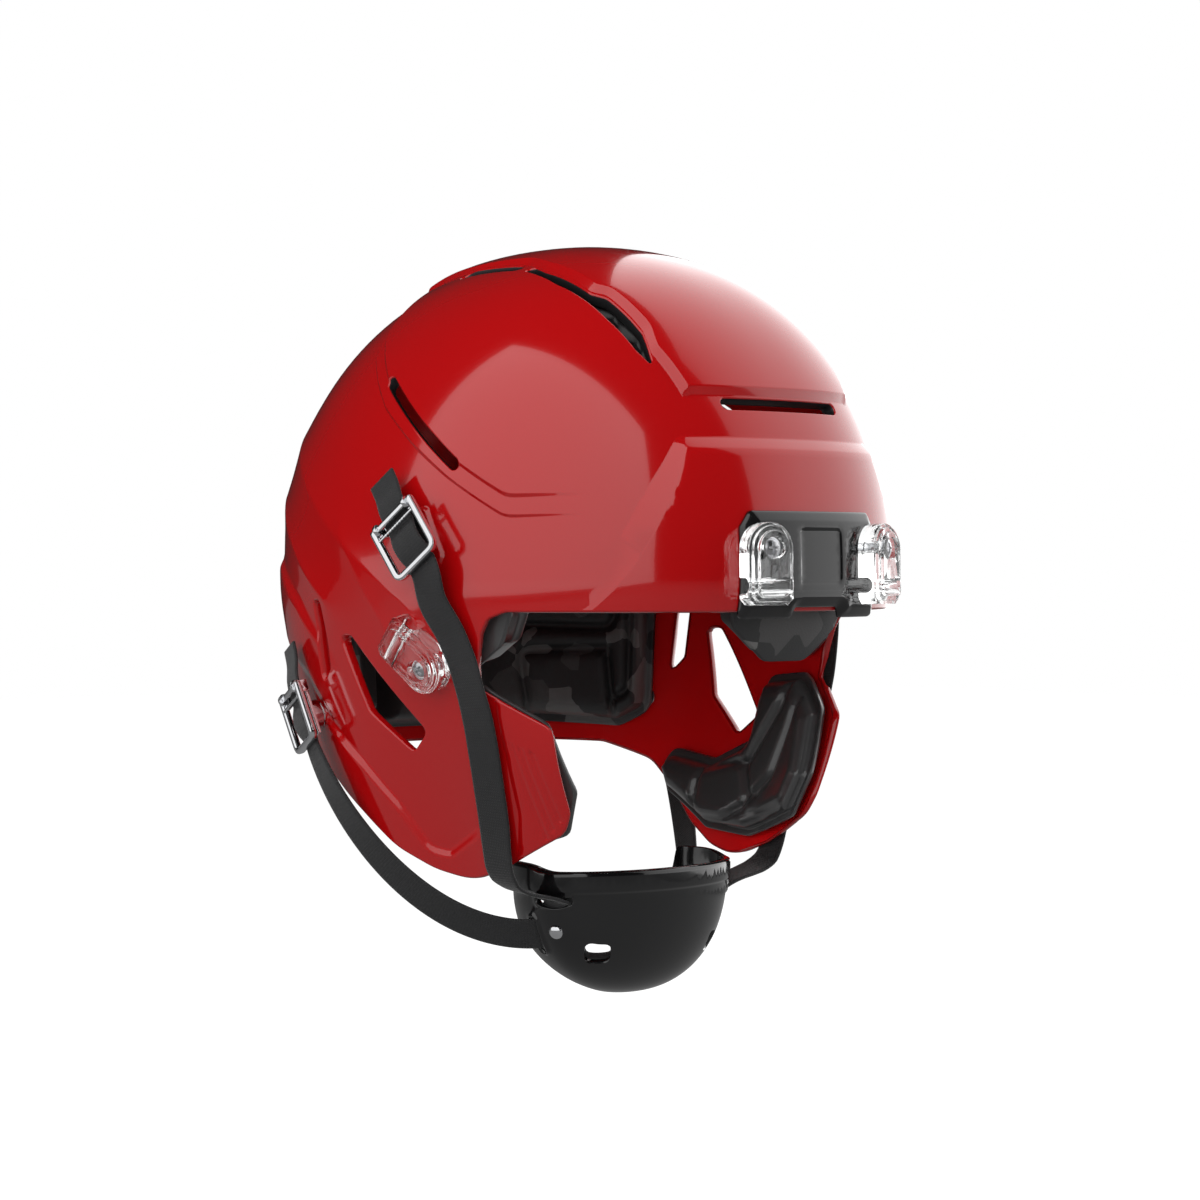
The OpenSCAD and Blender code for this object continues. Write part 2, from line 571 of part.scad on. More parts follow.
module upper_strap_left() color(charcoal) {
    last = strap_line[len(strap_line) - 1];
    a = side_pt(last[0], last[1], last[2]);
    d = cup_at(upper_slot[0], upper_slot[1], -cup_wall / 2);
    webbing(concat(along(snap_pt(0), snap_n, strap_up, tail_way),
        [for (q = strap_line) [side_pt(q[0], q[1], q[2]), side_n(q[0], max(q[1], -jaw_drop + 19), 0)]],
        [for (t = [0.2:0.2:1])
            [bezier(a, a + [-4, 0, -11], d + [13, 0, 5], d, t), unit([1, 0, 0.2 - 0.9 * t])]]));
}
module upper_strap_right() mirror([1, 0, 0]) upper_strap_left();

// Lower strap on the left: from the rear buckle it hangs in a slack bow to the cup's lower slot.
module lower_strap_left() color(charcoal) {
    n = rear_snap_n;
    first = along(rear_snap_pt(0), n, rear_up, tail_way);
    a = first[len(first) - 1][0];
    d = cup_at(lower_slot[0], lower_slot[1], -cup_wall / 2);
    webbing(concat(first, [for (t = [0.08:0.08:1.001])
        [bezier(a, a + [-3, -20, -40], d + [28, 36, -4], d, t), unit(n * (1 - t) + [1, -0.9, -0.66] * t)]]));
}
module lower_strap_right() mirror([1, 0, 0]) lower_strap_left();

// Chin cup: a hard half bowl with a lip at the rim, two slots a side, a vent and a rivet.
module cup_body(off, lid) {
    n = 44;
    rows = 9;
    drops = [for (j = [0:rows]) (cup_depth + off) * sin(90 * j / (rows + 1))];
    polyhedron(
        concat([for (i = [0:n - 1]) cup_pt(360 * i / n, rim_z, off) + [0, 0, lid]],
            [for (q = drops, i = [0:n - 1]) cup_pt(360 * i / n, rim_z - q, off)],
            [[0, cup_y, rim_z - cup_depth - off], [0, cup_y, rim_z + lid]]),
        concat(
            [for (j = [0:rows], i = [0:n - 1]) let (k = (i + 1) % n)
                each [[j * n + i, (j + 1) * n + k, (j + 1) * n + i], [j * n + i, j * n + k, (j + 1) * n + k]]],
            [for (i = [0:n - 1]) let (k = (i + 1) % n)
                [(rows + 1) * n + i, (rows + 1) * n + k, (rows + 2) * n]],
            [for (i = [0:n - 1]) let (k = (i + 1) % n) [k, i, (rows + 2) * n + 1]]),
        convexity = 4);
}
lip_t = 1.5;
lip_h = 5.2;
cup_back = [[-9, 20], [-9, -14], [-25, -cup_depth - 10], [90, -cup_depth - 10], [90, 20]];
rivet_at = [-33, 24];
vent_at = [-43, 34];
module on_cup(at) let (p = cup_at(at[0], at[1], 0), side = pow(cup_share(at[1], 0), cup_fullness - 2))
    set_on(p, unit([side * p[0] / pow(cup_half_w, 2), side * (p[1] - cup_y) / pow(cup_len(cup_y - p[1]), 2),
        -pow(at[1] / cup_depth, cup_fullness - 1) / cup_depth]), [0, 0, 1]) children();
module chin_cup() color(black) difference() {
    union() {
        cup_body(0, 0);
        intersection() {
            cup_body(lip_t, 0);
            translate([-150, -150, rim_z - lip_h]) cube([300, 300, 2 * lip_h]);
        }
    }
    cup_body(-cup_wall, 2);
    translate([0, 0, rim_z]) side_prism() offset(r = -6) offset(delta = 6) polygon(cup_back);
    both_sides() {
        on_cup(upper_slot) hull() for (s = [-1, 1])
            translate([s * (strap_w / 2 - 0.4), 0, -8]) cylinder(d = strap_t + 2.4, h = 16, $fn = 16);
        on_cup(lower_slot) hull() for (s = [-1, 1])
            translate([0, s * (strap_w / 2 - 0.4), -8]) cylinder(d = strap_t + 3.2, h = 16, $fn = 16);
        on_cup(vent_at) hull() for (s = [-1, 1])
            translate([s * 2.6, 0, -8]) cylinder(d = 7, h = 16, $fn = 20);
        on_cup(rivet_at) translate([0, 0, -6]) cylinder(r = 1.8, h = 12, $fn = 20);
    }
}
module chin_cup_rivets() color(chrome) both_sides() on_cup(rivet_at) {
    translate([0, 0, -cup_wall]) cylinder(r = 1.6, h = cup_wall + 0.6, $fn = 24);
    intersection() {
        translate([0, 0, gap - 3]) sphere(r = 4.4, $fn = 32);
        translate([0, 0, gap]) cylinder(r = 3.2, h = 3, $fn = 32);
    }
}

// Cushions: an outline round a middle, laid against a wall. place gives the point at a depth, and
// groove how much the face is drawn down there. The face is crowned and the sides draw in to the seat.
function cut_corners(pts, n) = n == 0 ? pts : let (m = len(pts)) cut_corners([for (i = [0:m - 1])
    let (a = pts[i], b = pts[(i + 1) % m]) each [a * 0.75 + b * 0.25, a * 0.25 + b * 0.75]], n - 1);
face_rings = [1, 0.965, 0.88, 0.74, 0.56, 0.36, 0.18];
module cushion(outline, mid, t, place, groove = function (p) 0, rings = face_rings) {
    m = len(outline);
    nr = len(rings);
    function swell(r) = t * (0.5 + 0.5 * pow(1 - pow(r, 6), 0.6));
    foot = [for (r = [0.93, 0.5], p = outline) let (q = mid + (p - mid) * r) place(q, 0)];
    face = [for (r = rings, p = outline) let (q = mid + (p - mid) * r) place(q, swell(r) - groove(q))];
    f = len(foot);
    polyhedron(concat(foot, face, [place(mid, 0), place(mid, t - groove(mid))]),
        concat(
            [for (i = [0:m - 1]) let (k = (i + 1) % m)
                each [[i, m + k, k], [i, m + i, m + k], [m + i, f + nr * m, m + k], [i, f + k, f + i],
                      [i, k, f + k], [f + (nr - 1) * m + i, f + (nr - 1) * m + k, f + nr * m + 1]]],
            [for (j = [0:nr - 2], i = [0:m - 1]) let (k = (i + 1) % m, b = f + j * m)
                each [[b + i, b + m + k, b + m + i], [b + i, b + k, b + m + k]]]),
        convexity = 6);
}
pad_gap = 2.9;         // the patches and nuts lie in this gap between wall and pads
seat = wall + pad_gap;
jaw_more = 1;          // the walls lean in at the jaw, which narrows the gap
function ridge(p, a, b) = let (d = b - a, s = min(1, max(0, (p - a) * d / (d * d))), q = norm(p - a - d * s))
    exp(-q * q / 9);
on_side = function (p, d) side_pt(-p[0], p[1], -seat - d);
on_jaw = function (p, d) side_pt(-p[0], p[1], -seat - jaw_more - d);
on_front = function (p, d) front_pt(-p[0], p[1], -seat - d);
on_back = function (p, d) skin(180 - p[0], p[1], -seat - d);
on_top = function (p, d) top_pt(p[1], p[0], -wall - inner_gap - lattice_t - 2 * gap - d);

// Jaw pad: a bent pad along the flap, with lobes parted by grooves. Its outline is [-y, z].
jaw_outline = cut_corners([[20, -47], [42, -46], [66, -62], [70, -90], [62, -108], [24, -117], [-6, -114],
    [-36, -99], [-40, -86], [-28, -80], [-6, -85], [14, -76], [16, -58]], 2);
jaw_mid = [38, -94];
function jaw_groove(p) = 4 * max(ridge(p, [30, -56], [34, -84]), ridge(p, [46, -60], [50, -88]),
    ridge(p, [18, -80], [24, -112]), ridge(p, [-12, -84], [-6, -110]));
module jaw_pad_left() color(charcoal)
    cushion(jaw_outline, jaw_mid, jaw_pad_t, on_jaw, function (p) jaw_groove(p),
        [1, 0.97, 0.91, 0.84, 0.76, 0.67, 0.57, 0.46, 0.34, 0.2]);
module jaw_pad_right() mirror([1, 0, 0]) jaw_pad_left();

// Forehead pad: hangs below the brow edge in a bowl. Its outline is [-x, z].
module forehead_pad() color(charcoal)
    cushion(cut_corners([[-36, 36], [36, 36], [38, 0], [31, -22], [12, -36], [-12, -36], [-31, -22],
        [-38, 0]], 2), [0, 0], head_pad_t, on_front, function (p) 3 * ridge(p, [-30, 14], [30, 14]));

module temple_pad_left() color(charcoal)
    cushion(cut_corners([[58, 30], [50, -18], [34, -38], [14, -38], [10, 4], [24, 34]], 2),
        [34, 0], head_pad_t, on_side);
module temple_pad_right() mirror([1, 0, 0]) temple_pad_left();

module side_pad_left() color(charcoal)
    cushion(cut_corners([[-20, -18], [-46, -6], [-46, 40], [-20, 56], [4, 36], [4, -8]], 2),
        [-20, 16], head_pad_t, on_side, function (p) 3 * ridge(p, [-20, -8], [-20, 44]));
module side_pad_right() mirror([1, 0, 0]) side_pad_left();

// Rear pads: outlines are [bearing from the back towards the left, z].
module rear_pad_left() color(charcoal)
    cushion(cut_corners([[60, 30], [60, -66], [52, -74], [14, -70], [10, -36], [4, 30], [20, 56], [46, 52]], 2),
        [34, -10], head_pad_t, on_back, function (p) 3 * ridge(p, [54, -16], [12, -16]));
module rear_pad_right() mirror([1, 0, 0]) rear_pad_left();
module nape_pad() color(charcoal)
    cushion(cut_corners([[-7, -38], [7, -38], [11, -73], [-11, -73]], 2), [0, -58], head_pad_t * 0.8, on_back);
function crown_groove(p) = 3 * max(ridge(p, [-30, -40], [-30, 40]), ridge(p, [30, -36], [30, 36]));
module crown_pad() color(charcoal)
    cushion(cut_corners([[-78, -34], [-78, 34], [-20, 56], [60, 44], [74, 0], [60, -44], [-20, -56]], 2),
        [-6, 0], crown_pad_t, on_top, function (p) crown_groove(p));

// Soft pad inside the cup: its outline is [bearing, drop below the rim].
module chin_cup_pad() color(charcoal)
    cushion(cut_corners([[-70, 7], [-76, 22], [-62, 40], [0, 45], [62, 40], [76, 22], [70, 7], [0, 6]], 2),
        [0, 24], cup_pad_t, function (p, d) cup_pt(p[0], rim_z - p[1], -cup_wall - gap - d));

// Lattice under the crown: a shaped sheet with triangular windows beside each vent.
lattice_cells = [13, 10];
lattice_half = crown_half_w + 13;
lattice_y = [-98, 40];
function lattice_pt(i, j, d) = top_pt((2 * j / lattice_cells[1] - 1) * lattice_half,
    lattice_y[0] + (lattice_y[1] - lattice_y[0]) * i / lattice_cells[0], -wall - inner_gap - d);
module crown_lattice() color(black) difference() {
    sheet_solid(
        [for (j = [0:lattice_cells[1]], i = [0:lattice_cells[0]]) lattice_pt(i, j, 0)],
        [for (j = [0:lattice_cells[1]], i = [0:lattice_cells[0]]) lattice_pt(i, j, lattice_t)],
        lattice_cells[0], lattice_cells[1]);
    for (y = [-96:14:20]) both_sides() {
        translate([0, y, 0]) linear_extrude(crown_h) polygon([[50, 0], [61, 1], [51, 10]]);
        translate([0, y, 0]) linear_extrude(crown_h) polygon([[63, 3], [63, 12], [53.5, 12]]);
    }
}

// Fastening patches behind the pads: by bearing and height.
patch_places = [[6, 0], [76, -98], [98, -96], [102, 10], [66, 0], [138, -20], [150, 28], [172, -56]];
module pad_patches() color(black) both_sides() for (q = patch_places)
    set_on(skin(q[0], q[1], -wall), -skin_n(q[0], q[1], -wall), [0, 0, 1])
        translate([0, 0, inner_gap]) cylinder(r = patch_r, h = patch_t, $fn = 24);

shell();
front_bumper();
rear_bumper();
rear_bumper_screws();
front_clip_right();
front_clip_left();
side_clip_right();
side_clip_left();
clip_screws();
clip_nuts();
snap_studs();
snap_stud_nuts();
upper_buckle_base_right();
upper_buckle_base_left();
upper_buckle_frame_right();
upper_buckle_frame_left();
lower_buckle_base_right();
lower_buckle_base_left();
lower_buckle_frame_right();
lower_buckle_frame_left();
upper_strap_right();
upper_strap_left();
lower_strap_right();
lower_strap_left();
chin_cup();
chin_cup_pad();
chin_cup_rivets();
jaw_pad_right();
jaw_pad_left();
forehead_pad();
temple_pad_right();
temple_pad_left();
side_pad_right();
side_pad_left();
rear_pad_right();
rear_pad_left();
nape_pad();
crown_pad();
crown_lattice();
pad_patches();
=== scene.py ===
import json
import math
import bpy
import bmesh
import numpy as np
from mathutils import Matrix, Vector
from mathutils.geometry import delaunay_2d_cdt

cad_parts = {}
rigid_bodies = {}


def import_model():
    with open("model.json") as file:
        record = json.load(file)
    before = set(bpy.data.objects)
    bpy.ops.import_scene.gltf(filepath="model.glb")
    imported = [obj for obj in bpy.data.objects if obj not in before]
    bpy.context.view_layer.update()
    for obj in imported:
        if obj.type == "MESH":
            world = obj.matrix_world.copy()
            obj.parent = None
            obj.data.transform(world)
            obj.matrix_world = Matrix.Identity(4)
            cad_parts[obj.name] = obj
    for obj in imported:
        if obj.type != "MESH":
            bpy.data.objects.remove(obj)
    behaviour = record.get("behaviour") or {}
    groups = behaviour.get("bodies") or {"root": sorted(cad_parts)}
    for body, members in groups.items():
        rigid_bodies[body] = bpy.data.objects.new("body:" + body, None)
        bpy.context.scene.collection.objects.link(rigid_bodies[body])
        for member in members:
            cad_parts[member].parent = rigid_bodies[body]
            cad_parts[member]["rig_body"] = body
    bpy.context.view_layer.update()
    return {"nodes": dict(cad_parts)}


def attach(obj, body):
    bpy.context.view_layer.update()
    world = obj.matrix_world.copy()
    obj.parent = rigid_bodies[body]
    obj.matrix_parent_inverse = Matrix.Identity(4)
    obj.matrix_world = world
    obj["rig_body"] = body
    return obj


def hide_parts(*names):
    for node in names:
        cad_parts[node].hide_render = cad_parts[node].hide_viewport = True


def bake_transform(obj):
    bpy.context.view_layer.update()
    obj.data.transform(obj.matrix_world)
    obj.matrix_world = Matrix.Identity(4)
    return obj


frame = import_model()
mm = 0.001
sides = ((1, "left"), (-1, "right"))

# The camera stands where the photograph was taken: in front of the wearer's right cheek.
view = {"azimuth": -44, "elevation": 0.7, "distance": 1.35, "focalPx": 2997, "originPx": (587, 575),
        "framePx": 1200, "sensor": 36, "clipStart": 0.05}


def makeCamera():
    turn, lift = math.radians(view["azimuth"]), math.radians(view["elevation"])
    right = Vector((math.cos(turn), math.sin(turn), 0))
    back = Vector((math.sin(turn) * math.cos(lift), -math.cos(turn) * math.cos(lift), math.sin(lift)))
    up = back.cross(right)
    perPx = view["distance"] / view["focalPx"]
    half = view["framePx"] / 2
    aside = (view["originPx"][0] - half) * perPx
    above = (half - view["originPx"][1]) * perPx
    camera = bpy.data.objects.new("camera", bpy.data.cameras.new("camera"))
    bpy.context.scene.collection.objects.link(camera)
    place = Matrix((right, up, back)).transposed().to_4x4()
    place.translation = back * view["distance"] - right * aside - up * above
    camera.matrix_world = place
    camera.data.sensor_width = view["sensor"]
    camera.data.lens = view["focalPx"] / view["framePx"] * view["sensor"]
    camera.data.clip_start = view["clipStart"]
    bpy.context.scene.camera = camera


makeCamera()
print("camera set")

# The skin of the helmet in mm, as in the solids: a bearing a (0 at the face, towards the wearer's left),
# and a level v, which is a height in mm below the temples and an angle of 0 to 90 degrees above them.
skin = {"halfW": 120.5, "frontLen": 134, "backLen": 147, "crownH": 142, "fullness": 2.2, "jawFullness": 1.6,
        "frontLean": 0.38, "rearLean": 0.26, "leanRound": 30, "jawStart": 20, "jawSpan": 70,
        "rearRound": 0.85, "rearFrom": 0.3, "flapTurn": 0.3, "flapY": -47, "flapSlant": 0.16, "flapReach": 12,
        "flapStart": 38, "flapSpan": 14, "creaseRound": 1.6, "wall": 3.6, "napeDrop": 79, "browDrop": 15}
settling = 8        # rounds in which a point seen from one side finds its place on the lower skin
chunk = 3000        # points measured at once


def unitRows(v):
    return v / np.linalg.norm(v, axis=-1, keepdims=True)


def runAlong(pts):
    return np.concatenate([[0], np.cumsum(np.linalg.norm(np.diff(pts, axis=0), axis=1))])


def turning(q):
    return np.sum(q[:, 0] * np.roll(q[:, 1], -1) - np.roll(q[:, 0], -1) * q[:, 1])


def wayAlong(pts, closed):
    return unitRows(np.roll(pts, -1, 0) - np.roll(pts, 1, 0) if closed else np.gradient(pts, axis=0))


def ease(t):
    c = np.clip(t, 0, 1)
    return c * c * (3 - 2 * c)


def rearward(a):
    return ease(skin["rearFrom"] - np.cos(a))


def leanAt(a):
    return skin["frontLean"] + (skin["rearLean"] - skin["frontLean"]) * rearward(a)


def lowShare(a, z):
    return 1 - leanAt(a) / skin["halfW"] * (np.sqrt(z * z + skin["leanRound"] ** 2) - skin["leanRound"])


def powerAt(z, a):
    squarer = skin["jawFullness"] * (1 - skin["rearRound"] * rearward(a))
    return skin["fullness"] + squarer * ease((-z - skin["jawStart"]) / skin["jawSpan"])


# The jaw flap turns in, in front of a crease that slants down its side.
def flapShift(y, z):
    past = (skin["flapY"] + (skin["flapY"] - z) * skin["flapSlant"]) - y
    eased = (past + np.sqrt(past * past + skin["creaseRound"] ** 2)) / 2
    turned = np.where(past > -skin["flapReach"], eased, 0)
    return skin["flapTurn"] * turned * ease((-z - skin["flapStart"]) / skin["flapSpan"])


def skinAt(a, v, off=0.0):
    a, v, off = np.broadcast_arrays(np.asarray(a, float), np.asarray(v, float), np.asarray(off, float))
    f = skin["fullness"]
    angle = np.radians(np.clip(v, 0, 90))
    low = np.minimum(v, 0)
    share = np.where(v > 0, np.cos(angle) ** (2 / f), lowShare(a, low))
    z = np.where(v > 0, (skin["crownH"] + off) * np.sin(angle) ** (2 / f), low)
    p = powerAt(z, a)
    length = np.where(np.cos(a) > 0, skin["frontLen"], skin["backLen"]) + off
    wide = (np.abs(np.sin(a)) / (skin["halfW"] + off)) ** p
    long = (np.abs(np.cos(a)) / length) ** p
    r = share * (wide + long) ** (-1 / p)
    x, y = r * np.sin(a), -r * np.cos(a)
    return np.stack([x - np.sign(x) * flapShift(y, z), y, z], -1)


def levelOf(z, off=0.0):
    lift = np.clip(z / (skin["crownH"] + off), 0, 1)
    return np.where(z > 0, np.degrees(np.arcsin(lift ** (skin["fullness"] / 2))), z)


def reachOf(y, off=0.0):
    return np.where(y < 0, skin["frontLen"], skin["backLen"]) + off


def fromSide(y, z, off=0.0, side=1):
    y, z = np.asarray(y, float), np.asarray(z, float)
    f, w = skin["fullness"], skin["halfW"] + off
    tall = np.clip(z / (skin["crownH"] + off), 0, 1) ** f
    dome = np.clip(1 - np.abs(y / reachOf(y, off)) ** f - tall, 0, 1)
    x = w * dome ** (1 / f)
    for step in range(settling):
        a = np.arctan2(x, -y)
        share, p = lowShare(a, np.minimum(z, 0)), powerAt(z, a)
        low = w * share * np.clip(1 - (np.abs(y) / (reachOf(y, off) * share)) ** p, 0, 1) ** (1 / p)
        x = np.where(z > 0, x, low)
    return np.arctan2(side * x, -y), levelOf(z, off)


def fromFront(x, z, off=0.0, sign=-1):
    x, z = np.asarray(x, float), np.asarray(z, float)
    f, w = skin["fullness"], skin["halfW"] + off
    length = (skin["frontLen"] if sign < 0 else skin["backLen"]) + off
    dome = np.clip(1 - np.abs(x / w) ** f - np.clip(z / (skin["crownH"] + off), 0, 1) ** f, 0, 1)
    y = sign * length * dome ** (1 / f)
    for step in range(settling):
        a = np.arctan2(np.abs(x), -y)
        share, p = lowShare(a, np.minimum(z, 0)), powerAt(z, a)
        low = sign * length * share * np.clip(1 - (np.abs(x) / (w * share)) ** p, 0, 1) ** (1 / p)
        y = np.where(z > 0, y, low)
    return np.arctan2(x, -y), levelOf(z, off)


def fromTop(x, y, off=0.0):
    x, y = np.asarray(x, float), np.asarray(y, float)
    f = skin["fullness"]
    dome = np.clip(1 - np.abs(x / (skin["halfW"] + off)) ** f - np.abs(y / reachOf(y, off)) ** f, 0, 1)
    return np.arctan2(x, -y), levelOf((skin["crownH"] + off) * dome ** (1 / f), off)


def fromSpace(p):
    x, y, z = p[..., 0], p[..., 1], p[..., 2]
    f = skin["fullness"]
    x = x + np.sign(x) * flapShift(y, z)
    wide, long = np.abs(x / skin["halfW"]) ** f, np.abs(y / reachOf(y)) ** f
    grow = wide + long + np.clip(z / skin["crownH"], 0, None) ** f
    return np.arctan2(x, -y), levelOf(np.where(z > 0, z * grow ** (-1 / f), z))


def skinFacing(a, v, off=0.0):
    far = np.where(np.asarray(v) > 89.6, 0, 1)      # the very top faces straight up
    da = skinAt(a + 0.002, v, off) - skinAt(a - 0.002, v, off)
    dv = skinAt(a, v + 0.1, off) - skinAt(a, v - 0.1, off)
    n = np.cross(da, dv)
    return unitRows(n * far[..., None] + np.array([0, 0, 1e-9]) * (1 - far[..., None]))


# A flat map of the whole skin, with the crown in the middle: nearly true to shape everywhere.
mapRing = 240.0
mapDrop = 120.0


def toMap(a, v):
    rho = np.where(v > 0, mapRing * np.tan(np.radians(90 - np.clip(v, 0, 90)) / 2),
                   mapRing * np.exp(-np.minimum(v, 0) / mapDrop))
    return np.stack([rho * np.sin(a), -rho * np.cos(a)], -1)


def fromMap(q):
    rho = np.linalg.norm(q, axis=-1)
    v = np.where(rho <= mapRing, 90 - 2 * np.degrees(np.arctan(rho / mapRing)),
                 -mapDrop * np.log(np.maximum(rho, 1e-9) / mapRing))
    return np.arctan2(q[..., 0], -q[..., 1]), v


# Lines: corners are rounded, and points are laid along them at even steps.
def rounded(points, radius, closed=False, steps=6):
    pts = [np.asarray(p, float) for p in points]
    radii = radius if hasattr(radius, "__len__") else [radius] * len(pts)
    out = []
    for i, p in enumerate(pts):
        if not closed and i in (0, len(pts) - 1):
            out.append(p)
            continue
        before, after = pts[i - 1] - p, pts[(i + 1) % len(pts)] - p
        lb, la = np.linalg.norm(before), np.linalg.norm(after)
        cosine = np.clip(before @ after / (lb * la), -1, 1)
        half = math.acos(cosine) / 2
        cut = min(radii[i] / max(math.tan(half), 1e-3), lb * 0.48, la * 0.48)
        s, e = p + before / lb * cut, p + after / la * cut
        for t in np.linspace(0, 1, steps):
            out.append(s * (1 - t) ** 2 + p * 2 * t * (1 - t) + e * t * t)
    return np.array(out)


def spaced(points, step, closed=False):
    pts = np.vstack([points, points[:1]]) if closed else np.asarray(points, float)
    gaps = np.linalg.norm(np.diff(pts, axis=0), axis=1)
    pts = pts[np.concatenate([[True], gaps > 1e-9])]
    run = runAlong(pts)
    at = np.linspace(0, run[-1], max(3, int(round(run[-1] / step))) + 1)
    if closed:
        at = at[:-1]
    return np.stack([np.interp(at, run, pts[:, k]) for k in range(pts.shape[1])], 1)


def mirrorLine(points):
    flip = np.array(points, float)[::-1].copy()
    flip[:, 0] *= -1
    return flip


# A line on the skin: its points in space, and which way is left of it.
def skinLine(space, step, closed=False):
    a, v = fromSpace(spaced(space, step, closed))
    if closed and turning(toMap(a, v)) < 0:
        a, v = a[::-1], v[::-1]
    pts = skinAt(a, v)
    left = unitRows(np.cross(skinFacing(a, v), wayAlong(pts, closed)))
    return {"pts": pts, "left": left, "closed": closed}


def beside(line, d):
    return fromSpace(line["pts"] + line["left"] * d)


# Signed distance from points to a line, positive on its left, and the way in which it grows.
def measure(points, line):
    start = line["pts"] if line["closed"] else line["pts"][:-1]
    span = (np.roll(line["pts"], -1, 0) if line["closed"] else line["pts"][1:]) - start
    size = (span * span).sum(1)
    left = line["left"] if line["closed"] else line["left"][:-1]
    nextLeft = np.roll(line["left"], -1, 0) if line["closed"] else line["left"][1:]
    far = np.empty(len(points))
    way = np.empty((len(points), 3))
    for i in range(0, len(points), chunk):
        p = points[i:i + chunk]
        rel = p @ span.T - (start * span).sum(1)
        t = np.clip(rel / size, 0, 1)
        sq = ((p * p).sum(1)[:, None] - 2 * (p @ start.T) + (start * start).sum(1)
              - 2 * t * rel + t * t * size)
        k = np.argmin(sq, 1)
        rows = np.arange(len(p))
        near = start[k] + span[k] * t[rows, k][:, None]
        gap = p - near
        d = np.linalg.norm(gap, axis=1)
        part = t[rows, k][:, None]
        inward = left[k] * (1 - part) + nextLeft[k] * part
        sign = np.where((gap * inward).sum(1) >= 0, 1.0, -1.0)
        far[i:i + chunk] = d * sign
        g = np.where((d > 1e-3)[:, None], gap / np.maximum(d, 1e-9)[:, None] * sign[:, None], left[k])
        way[i:i + chunk] = g
    return far, way


# A ramp from 0 to 1 over a width, with its two edges rounded over r, and its slope.
def ramp(d, width, r):
    parts = [d < -r, d < r, d < width - r, d < width + r]
    up = (d + r) ** 2 / (4 * r) / width
    down = 1 - (width + r - d) ** 2 / (4 * r) / width
    value = np.select(parts, [0, up, d / width, down], 1)
    slope = np.select(parts, [0, (d + r) / (2 * r), 1, (width + r - d) / (2 * r)], 0) / width
    return value, slope


# The rows that a ramp needs: three about each of its edges.
def rampRows(width, r):
    return (-r, 0, r, width - r, width, width + r)


def insideLoop(q, loop):
    out = np.zeros(len(q), bool)
    x0, y0 = loop[:, 0], loop[:, 1]
    x1, y1 = np.roll(x0, -1), np.roll(y0, -1)
    for i in range(0, len(q), chunk):
        x, y = q[i:i + chunk, 0][:, None], q[i:i + chunk, 1][:, None]
        cross = (y0 > y) != (y1 > y)
        at = (x1 - x0) * (y - y0) / np.where(np.abs(y1 - y0) < 1e-12, 1e-12, y1 - y0) + x0
        out[i:i + chunk] = (cross & (x < at)).sum(1) % 2 == 1
    return out


# Triangles over the map: scattered points, rows that must be edges, and loops to keep within or leave open.
def triangles(scatter, rows, rim, holes):
    pts, edges, count = [scatter], [], len(scatter)
    for row, closed in rows + [(rim, True)] + [(h, True) for h in holes]:
        n = len(row)
        pts.append(row)
        edges += [(count + i, count + i + 1) for i in range(n - 1)]
        if closed:
            edges.append((count + n - 1, count))
        count += n
    flat = np.vstack(pts)
    result = delaunay_2d_cdt([Vector(p) for p in flat], edges, [], 0, 1e-4)
    q = np.array([tuple(p) for p in result[0]])
    tris = np.array(result[2])
    mid = q[tris].mean(1)
    keep = insideLoop(mid, rim)
    for h in holes:
        keep &= ~insideLoop(mid, h)
    tris = tris[keep]
    used, index = np.unique(tris, return_inverse=True)
    return q[used], index.reshape(-1, 3)


# Even points over the skin that stay clear of the rows.
def scattered(step, rows, clear):
    levels = []
    for lo, hi in ((-140, 0.0), (0.0, 90.0)):
        line = np.linspace(lo, hi, 400)
        run = runAlong(skinAt(1.2, line))
        levels.append(np.interp(np.arange(step / 2, run[-1], step), run, line))
    out = []
    turn = np.linspace(0, 2 * np.pi, 361)
    for j, v in enumerate(np.concatenate(levels)):
        run = runAlong(skinAt(turn, v))
        n = max(1, int(run[-1] / step))
        a = np.interp((np.arange(n) + (j % 2) / 2) * run[-1] / n, run, turn)
        out.append(np.stack([a, np.full(n, v)], 1))
    out = np.vstack(out)
    seen = skinAt(*fromMap(np.vstack([r for r, c in rows])))
    taken = set()
    for shift in np.stack(np.meshgrid(*[(-1, 0, 1)] * 3, indexing="ij"), -1).reshape(-1, 3):
        taken.update(map(tuple, (np.floor(seen / clear).astype(int) + shift)))
    spots = np.floor(skinAt(out[:, 0], out[:, 1]) / clear).astype(int)
    free = np.array([tuple(s) not in taken for s in spots])
    return toMap(out[free, 0], out[free, 1])


def meshObject(name, verts, faces, normals=None):
    mesh = bpy.data.meshes.new(name)
    mesh.from_pydata((np.asarray(verts) * mm).tolist(), [], [tuple(int(i) for i in f) for f in faces])
    mesh.update()
    mesh.polygons.foreach_set("use_smooth", [True] * len(mesh.polygons))
    if normals is not None:
        mesh.normals_split_custom_set_from_vertices(np.asarray(normals).tolist())
    piece = bpy.data.objects.new(name, mesh)
    bpy.context.scene.collection.objects.link(piece)
    return piece


# Several parts, each with its points and faces, as the points and faces of one mesh.
def joined(parts):
    faces, count = [], 0
    for verts, part in parts:
        faces += [tuple(int(i) + count for i in face) for face in part]
        count += len(verts)
    return np.vstack([verts for verts, part in parts]), faces


# The faces between n rings of m points each.
def ringQuads(n, m):
    return [(i * m + j, (i + 1) * m + j, (i + 1) * m + (j + 1) % m, i * m + (j + 1) % m)
            for i in range(n - 1) for j in range(m)]


